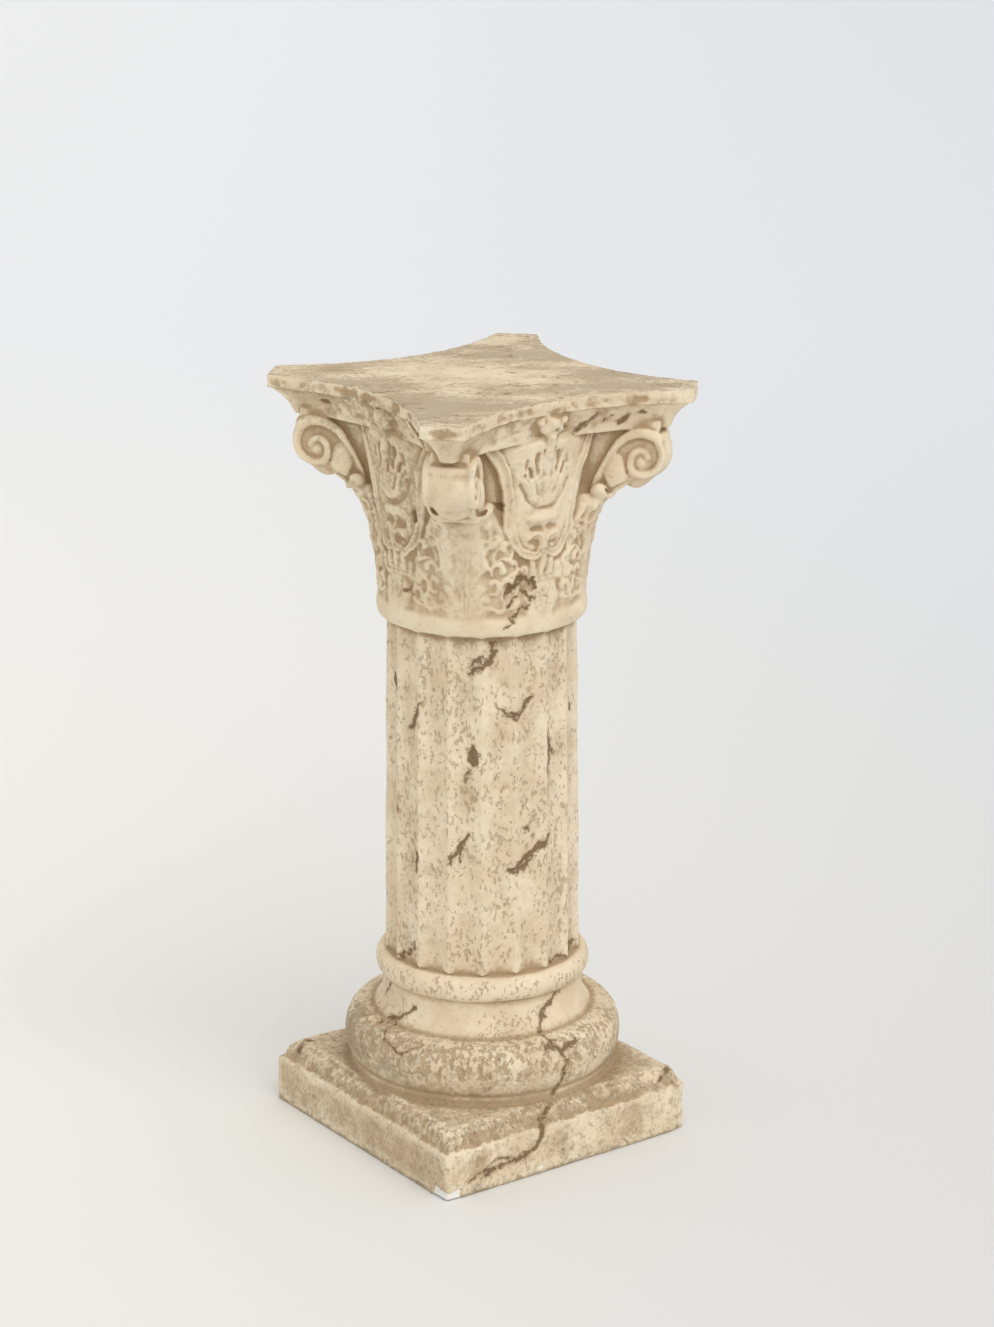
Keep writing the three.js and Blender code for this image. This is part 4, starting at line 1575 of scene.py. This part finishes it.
class Effects:
    """Node groups for what shows on the stone's surface."""

    @staticmethod
    def group(name: str, takes: dict[str, str], gives: dict[str, str]
              ) -> tuple[bpy.types.NodeTree, Nodes, dict[str, Socket], dict[str, Socket]]:
        """Starts a node group.

        Args:
            name: the group's name.
            takes: kinds of its inputs by name.
            gives: kinds of its outputs by name.

        Returns:
            The tree, its nodes, its input sockets by name and its output sockets by name.
        """
        tree = bpy.data.node_groups.new(name, "ShaderNodeTree")
        for label, kind in takes.items():
            tree.interface.new_socket(label, in_out="INPUT", socket_type=kind)
        for label, kind in gives.items():
            tree.interface.new_socket(label, in_out="OUTPUT", socket_type=kind)
        nodes = Nodes(tree)
        start, end = nodes.add("NodeGroupInput"), nodes.add("NodeGroupOutput")
        inputs = {label: start.outputs[label] for label in takes}
        outputs = {label: end.inputs[label] for label in gives}
        return tree, nodes, inputs, outputs

    @staticmethod
    def pits() -> bpy.types.NodeTree:
        """Small dark pits, drawn out upwards and lying in drifts.

        Returns:
            The group.
        """
        tree, nodes, takes, gives = Effects.group(
            "Travertine pits", {"Place": "NodeSocketVector", "Density": "NodeSocketFloat"},
            {"Mask": "NodeSocketFloat"})
        squeeze = nodes.add("ShaderNodeMapping")
        squeeze.inputs["Scale"].default_value = (1.0, 1.0, 0.62)
        nodes.link(takes["Place"], squeeze.inputs["Vector"])
        place = squeeze.outputs["Vector"]
        specks = nodes.noise(place, 270.0, 3.0, 0.62)
        wider = nodes.sum(nodes.noise(place, 175.0, 3.0, 0.62), nodes.scaled(specks, -1.0))
        specks = nodes.sum(specks, nodes.scaled(wider, nodes.ramp(takes["Density"], 0.82, 0.95)))
        drifts = nodes.noise(place, 85.0, 2.0, 0.5)
        level = nodes.sum(specks, nodes.scaled(nodes.sum(drifts, -0.5), 0.28))
        level = nodes.sum(level, nodes.scaled(nodes.sum(takes["Density"], -1.0), 0.16))
        strength = nodes.sum(nodes.scaled(nodes.ramp(takes["Density"], 0.82, 0.95), 0.35), 1.0)
        nodes.link(nodes.scaled(nodes.ramp(level, 0.515, 0.60), strength), gives["Mask"])
        return tree

    @staticmethod
    def vein() -> bpy.types.NodeTree:
        """A brown vein with a dark ragged core and a soft halo.

        Returns:
            The group.
        """
        tree, nodes, takes, gives = Effects.group(
            "Vein", {"Place": "NodeSocketVector", "Distance": "NodeSocketFloat"},
            {"Core": "NodeSocketFloat", "Halo": "NodeSocketFloat"})
        ragged = nodes.noise(takes["Place"], 230.0, 5.0, 0.75)
        gap = nodes.sum(takes["Distance"], nodes.scaled(nodes.sum(ragged, -0.5), 11.0))
        nodes.link(nodes.ramp(nodes.scaled(gap, -1.0), -0.5, 0.9), gives["Core"])
        nodes.link(nodes.ramp(nodes.scaled(gap, -1.0), -3.4, 0.4), gives["Halo"])
        return tree

    @staticmethod
    def slate() -> bpy.types.NodeTree:
        """Grey-brown streaks and short cracks that all run one way across the flat top.

        Returns:
            The group.
        """
        tree, nodes, takes, gives = Effects.group(
            "Slate", {"Place": "NodeSocketVector", "Amount": "NodeSocketFloat"},
            {"Stain": "NodeSocketFloat", "Crack": "NodeSocketFloat"})
        turn = nodes.add("ShaderNodeMapping")
        turn.vector_type = "TEXTURE"
        turn.inputs["Rotation"].default_value = (0.0, 0.0, math.radians(-35.3))
        turn.inputs["Scale"].default_value = (2.3, 1.0, 1.0)
        nodes.link(takes["Place"], turn.inputs["Vector"])
        place = turn.outputs["Vector"]
        streak = nodes.noise(place, 20.0, 8.0, 0.74)
        level = nodes.sum(streak, nodes.scaled(nodes.sum(takes["Amount"], -1.0), 0.10))
        shown = nodes.ramp(takes["Amount"], 0.02, 0.2)
        speck = nodes.noise(takes["Place"], 210.0, 3.0, 0.65)
        level = nodes.sum(level, nodes.scaled(nodes.sum(speck, -0.5), 0.34))
        nodes.link(nodes.scaled(nodes.ramp(level, 0.40, 0.55), shown), gives["Stain"])
        off = nodes.math("ABSOLUTE", nodes.sum(nodes.noise(place, 62.0, 3.0, 0.6), -0.5), 0.0)
        line = nodes.ramp(nodes.scaled(off, -1.0), -0.022, -0.004)
        some = nodes.ramp(nodes.noise(takes["Place"], 40.0, 2.0, 0.5), 0.53, 0.60)
        nodes.link(nodes.scaled(nodes.scaled(line, some), shown), gives["Crack"])
        return tree

    @staticmethod
    def grain() -> bpy.types.NodeTree:
        """The stone's sandy grain.

        Returns:
            The group.
        """
        tree, nodes, takes, gives = Effects.group(
            "Stone grain", {"Place": "NodeSocketVector"}, {"Height": "NodeSocketFloat"})
        coarse = nodes.noise(takes["Place"], 150.0, 5.0, 0.6)
        fine = nodes.noise(takes["Place"], 700.0, 2.0, 0.5)
        nodes.link(nodes.sum(nodes.scaled(coarse, 1.1), nodes.scaled(fine, 0.35)), gives["Height"])
        return tree


@dataclass
class Column:
    """The whole casting.

    Attributes:
        node: the CAD node that it stands for.
        faces: how many triangles its finished mesh has.
        lattice: where the stone is worked out.
        plinth: the slab below.
        turned: base, shaft and rings.
        bell: the carved bell.
        volute: the volute at each corner.
        abacus: the slab on top.
        fleuron: the flower on each side of it.
        weathering: the wear.
        finish: the stone's finish, with its painted shade and painted highlights.
    """

    node: str = "column"
    faces: int = 196000
    lattice: Lattice = field(default_factory=Lattice)
    plinth: Plinth = field(default_factory=Plinth)
    turned: Turned = field(default_factory=Turned)
    bell: Bell = field(default_factory=Bell)
    volute: Volute = field(default_factory=Volute)
    abacus: Abacus = field(default_factory=Abacus)
    fleuron: Fleuron = field(default_factory=Fleuron)
    weathering: Weathering = field(default_factory=Weathering)
    finish: CastStone = field(default_factory=CastStone)

    def level(self, z: float) -> Array:
        """Measures to the whole stone at one level.

        Args:
            z: the level.

        Returns:
            Distances at the lattice's points, negative inside.
        """
        grid = self.lattice
        value = np.full(grid.x.shape, 20.0)
        if z < 75.0:
            value = np.minimum(value, self.plinth.distance(grid, z))
        if 58.0 < z < 560.0:
            value = join(value, self.turned.distance(grid, z), 1.5)
        if 545.0 < z < 728.0:
            value = join(value, self.bell.distance(grid, z), 1.5)
        if z > 630.0:
            quarter = np.full(grid.out.shape, 20.0)
            if z < 730.0:
                quarter = join(quarter, self.volute.distance(grid, z), 2.0)
            if z > 712.0:
                quarter = join(quarter, self.abacus.distance(grid, z), 2.0)
                quarter = join(quarter, self.fleuron.distance(grid, z), 2.5)
            value = join(value, grid.whole(quarter), 2.0)
        return value

    def carve(self) -> Skin:
        """Works out the fresh stone's surface.

        Returns:
            The surface in mm.
        """
        grid = self.lattice
        gaps = np.stack([self.level(z).astype(np.float32) for z in grid.z], axis=2)
        origin = np.array([grid.across[0], grid.across[0], grid.z[0]])
        skin = Skin.around(gaps, origin, grid.step)
        self.room = Room(gaps < 0, origin, grid.step)
        return skin

    def build(self) -> bpy.types.Object:
        """Builds, wears and dresses the casting.

        Returns:
            The finished object.
        """
        skin = self.carve()
        LOG.info("fresh stone: %d points", len(skin.points))
        points = self.weathering.worn(skin)
        low, high = (np.array(corner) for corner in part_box(self.node))
        points = np.clip(points, low / MM, high / MM)
        mesh = bpy.data.meshes.new("casting")
        mesh.from_pydata((points * MM).tolist(), [], skin.quads.tolist())
        piece = bpy.data.objects.new("casting", mesh)
        bpy.context.scene.collection.objects.link(piece)
        thin = piece.modifiers.new("thin", "DECIMATE")
        thin.ratio = min(1.0, self.faces / (2.0 * len(skin.quads)))
        thin.use_collapse_triangulate = True
        done = bpy.data.meshes.new_from_object(piece.evaluated_get(bpy.context.evaluated_depsgraph_get()))
        piece.modifiers.clear()
        piece.data = done
        places = np.zeros(len(done.vertices) * 3)
        done.vertices.foreach_get("co", places)
        done.vertices.foreach_set("co", np.clip(places.reshape(-1, 3), low, high).ravel())
        done.polygons.foreach_set("use_smooth", [True] * len(done.polygons))
        self.mark(done)
        done.materials.clear()
        done.materials.append(self.finish.material())
        LOG.info("casting: %d triangles", len(done.polygons))
        return piece

    def mark(self, mesh: bpy.types.Mesh) -> None:
        """Gives a mesh the numbers that the finish reads.

        Args:
            mesh: the finished mesh.
        """
        read = np.zeros(len(mesh.vertices) * 3)
        mesh.vertices.foreach_get("co", read)
        points = read.reshape(-1, 3) / MM
        mesh.vertices.foreach_get("normal", read)
        normals = read.reshape(-1, 3)
        wear, z = self.weathering, points[:, 2]
        angle, radius = wear.around(points)
        plain = 1.0 - 0.25 * band(z, 186.0, 196.0, 522.0, 528.0) - 0.5 * band(z, 124.0, 130.0, 156.0, 164.0)
        # Painted shade on the capital's shaded left side, and a darker tint over the torus.
        tint_and_painted_shade = 0.07 * smooth_step(z, 560.0, 575.0) * smooth_step(-angle, 25.0, 50.0)
        tint_and_painted_shade += 0.10 * band(z, 72.0, 80.0, 126.0, 136.0)
        # hollow carries the brown wash and painted shade in hollows, and below 0 the painted highlight on edges;
        # it is weaker in the flutes and the neck.
        hollow = self.room.hollow(points + normals * 0.8) * plain
        flat = smooth_step(z, 757.0, 760.0) * smooth_step(normals[:, 2], 0.35, 0.85)
        far = 0.25 + 0.85 * smooth_step(radius, 50.0, 125.0)
        values = {
            "hollow": (hollow + tint_and_painted_shade) * (1.0 - flat) + 0.12 * flat,
            "pitting": wear.pitting(points),
            "vein": wear.vein_gap(points, False),
            # Dirt, with painted shade on the left side and a painted contact shadow at the plinth's foot.
            "soil_and_painted_shade": wear.soil_and_painted_shade(points, normals),
            "top": flat * far,
            "chip": wear.chalk(points),
        }
        for name, value in values.items():
            layer = mesh.attributes.new(name, "FLOAT", "POINT")
            layer.data.foreach_set("value", value.astype(np.float32))


class Room:
    """How much stone stands round a place, for the brown wash and the painted shade that gather in hollows, and
    the painted highlight on edges.

    Attributes:
        MARGIN: empty blocks laid round the stone.
        REACHES: reach in blocks of each room, and the share of stone in it just off a flat face.
        GAIN: how strongly a greater share than that counts.
    """

    MARGIN = 8
    REACHES = ((1, 0.34), (3, 0.42))
    GAIN = 1.2

    def __init__(self, inside: Array, origin: Array, step: float) -> None:
        """Counts the stone in blocks of two and spreads it over a small and a large room.

        Args:
            inside: True where there is stone.
            origin: place of the first point.
            step: spacing of the points.
        """
        shape = [n // 2 * 2 for n in inside.shape]
        blocks = inside[:shape[0], :shape[1], :shape[2]].astype(np.float32)
        for axis in range(3):
            even, odd = neighbours(axis, slice(0, None, 2), slice(1, None, 2))
            blocks = 0.5 * (blocks[even] + blocks[odd])
        blocks = np.pad(blocks, self.MARGIN)
        self.origin, self.step = origin + 0.5 * step - 2 * step * self.MARGIN, 2 * step
        self.rooms = [(self.spread(blocks, reach, 2), flat) for reach, flat in self.REACHES]

    @staticmethod
    def spread(blocks: Array, reach: int, times: int) -> Array:
        """Averages values over boxes.

        Args:
            blocks: the values.
            reach: how many neighbours on each side.
            times: how often it is done.

        Returns:
            The averaged values.
        """
        for _ in range(times):
            for axis in range(3):
                total = sum(np.roll(blocks, shift, axis) for shift in range(-reach, reach + 1))
                blocks = total / (2 * reach + 1)
        return blocks

    def hollow(self, points: Array) -> Array:
        """Tells hollows from edges.

        Args:
            points: places just off the surface in mm, one a row.

        Returns:
            Above 0 in hollows and below 0 on edges.
        """
        place = (points - self.origin) / self.step
        low = np.clip(np.floor(place).astype(int), 0, np.array(self.rooms[0][0].shape) - 2)
        part = np.clip(place - low, 0, 1)
        total = np.zeros(len(points))
        for corner in range(8):
            pick = np.array([(corner >> axis) & 1 for axis in range(3)])
            weight = np.prod(np.where(pick, part, 1 - part), axis=1)
            for sheet, flat in self.rooms:
                total += self.GAIN * weight * (sheet[tuple((low + pick).T)] - flat)
        return total


@dataclass
class Studio:
    """The pale floor with its painted light falloff, the soft light and the camera of the portrait.

    Attributes:
        place: the camera's place in metres.
        back: direction from the object back to the camera.
        lens: focal length in mm for a long side of 36 mm.
    """

    place: tuple[float, float, float] = (-1.957, -2.786, 1.528)
    back: tuple[float, float, float] = (-0.5526, -0.7795, 0.2951)
    lens: float = 99.05

    def floor(self) -> None:
        """Lays a wide pale floor, with painted light falloff: lighter and warmer to the left, darker and cooler to
        the right, bluer towards the back.
        """
        bpy.ops.mesh.primitive_plane_add(size=60.0, location=(0.0, 0.0, 0.0))
        floor = bpy.context.object
        floor.name = "floor"
        paint = bpy.data.materials.new("floor_tone_and_painted_falloff")
        paint.use_nodes = True
        nodes = Nodes(paint.node_tree)
        shader = next(n for n in paint.node_tree.nodes if n.type == "BSDF_PRINCIPLED")
        place = nodes.add("ShaderNodeTexCoord").outputs["Object"]
        # Painted light falloff across and away from the camera: lighter and warmer to the left, darker and cooler
        # to the right, and bluer towards the back.
        across = nodes.dot(place, (0.816, -0.578, 0.0))
        away = nodes.dot(place, (0.578, 0.816, 0.0))
        near = nodes.mix(nodes.ramp(across, -1.2, 1.2), (0.90, 0.895, 0.84), (0.70, 0.71, 0.735))
        far = nodes.mix(nodes.ramp(across, -2.5, 2.5), (0.85, 0.86, 0.885), (0.73, 0.75, 0.80))
        nodes.link(nodes.mix(nodes.ramp(away, 0.0, 4.0), near, far), shader.inputs["Base Color"])
        shader.inputs["Roughness"].default_value = 0.9
        floor.data.materials.append(paint)

    def light(self) -> None:
        """Brightens the air and adds one very soft light from the front."""
        world = bpy.data.worlds.new("air")
        bpy.context.scene.world = world
        world.use_nodes = True
        air = world.node_tree.nodes["Background"]
        air.inputs["Color"].default_value = (1.0, 0.992, 0.975, 1.0)
        air.inputs["Strength"].default_value = 0.77
        data = bpy.data.lights.new("key", "SUN")
        data.angle = math.radians(50.0)
        data.energy = 1.05
        data.color = (1.0, 0.98, 0.94)
        lamp = bpy.data.objects.new("key", data)
        lamp.rotation_euler = (math.radians(42.0), 0.0, math.radians(-5.0))
        bpy.context.scene.collection.objects.link(lamp)

    def camera(self) -> None:
        """Sets the camera where the photographer stood."""
        data = bpy.data.cameras.new("portrait")
        data.lens = self.lens
        data.sensor_width = 36.0
        data.clip_end = 200.0
        camera = bpy.data.objects.new("portrait", data)
        back = Vector(self.back).normalized()
        right = Vector((-back.y, back.x, 0.0)).normalized()
        up = back.cross(right)
        turn = Matrix((right, up, back)).transposed().to_4x4()
        camera.matrix_world = Matrix.Translation(self.place) @ turn
        bpy.context.scene.collection.objects.link(camera)
        bpy.context.scene.camera = camera
        bpy.context.scene.view_settings.view_transform = "Standard"

    def build(self) -> None:
        """Sets up floor, light and camera."""
        self.floor()
        self.light()
        self.camera()
        LOG.info("studio is ready")


def main() -> None:
    """Builds the studio and the column, and keeps both boxes."""
    logging.basicConfig(level=logging.INFO, format="%(message)s")
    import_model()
    Studio().build()
    column = Column()
    casting = column.build()
    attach(casting, "root")
    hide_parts(column.node)


if __name__ == "__main__":
    main()
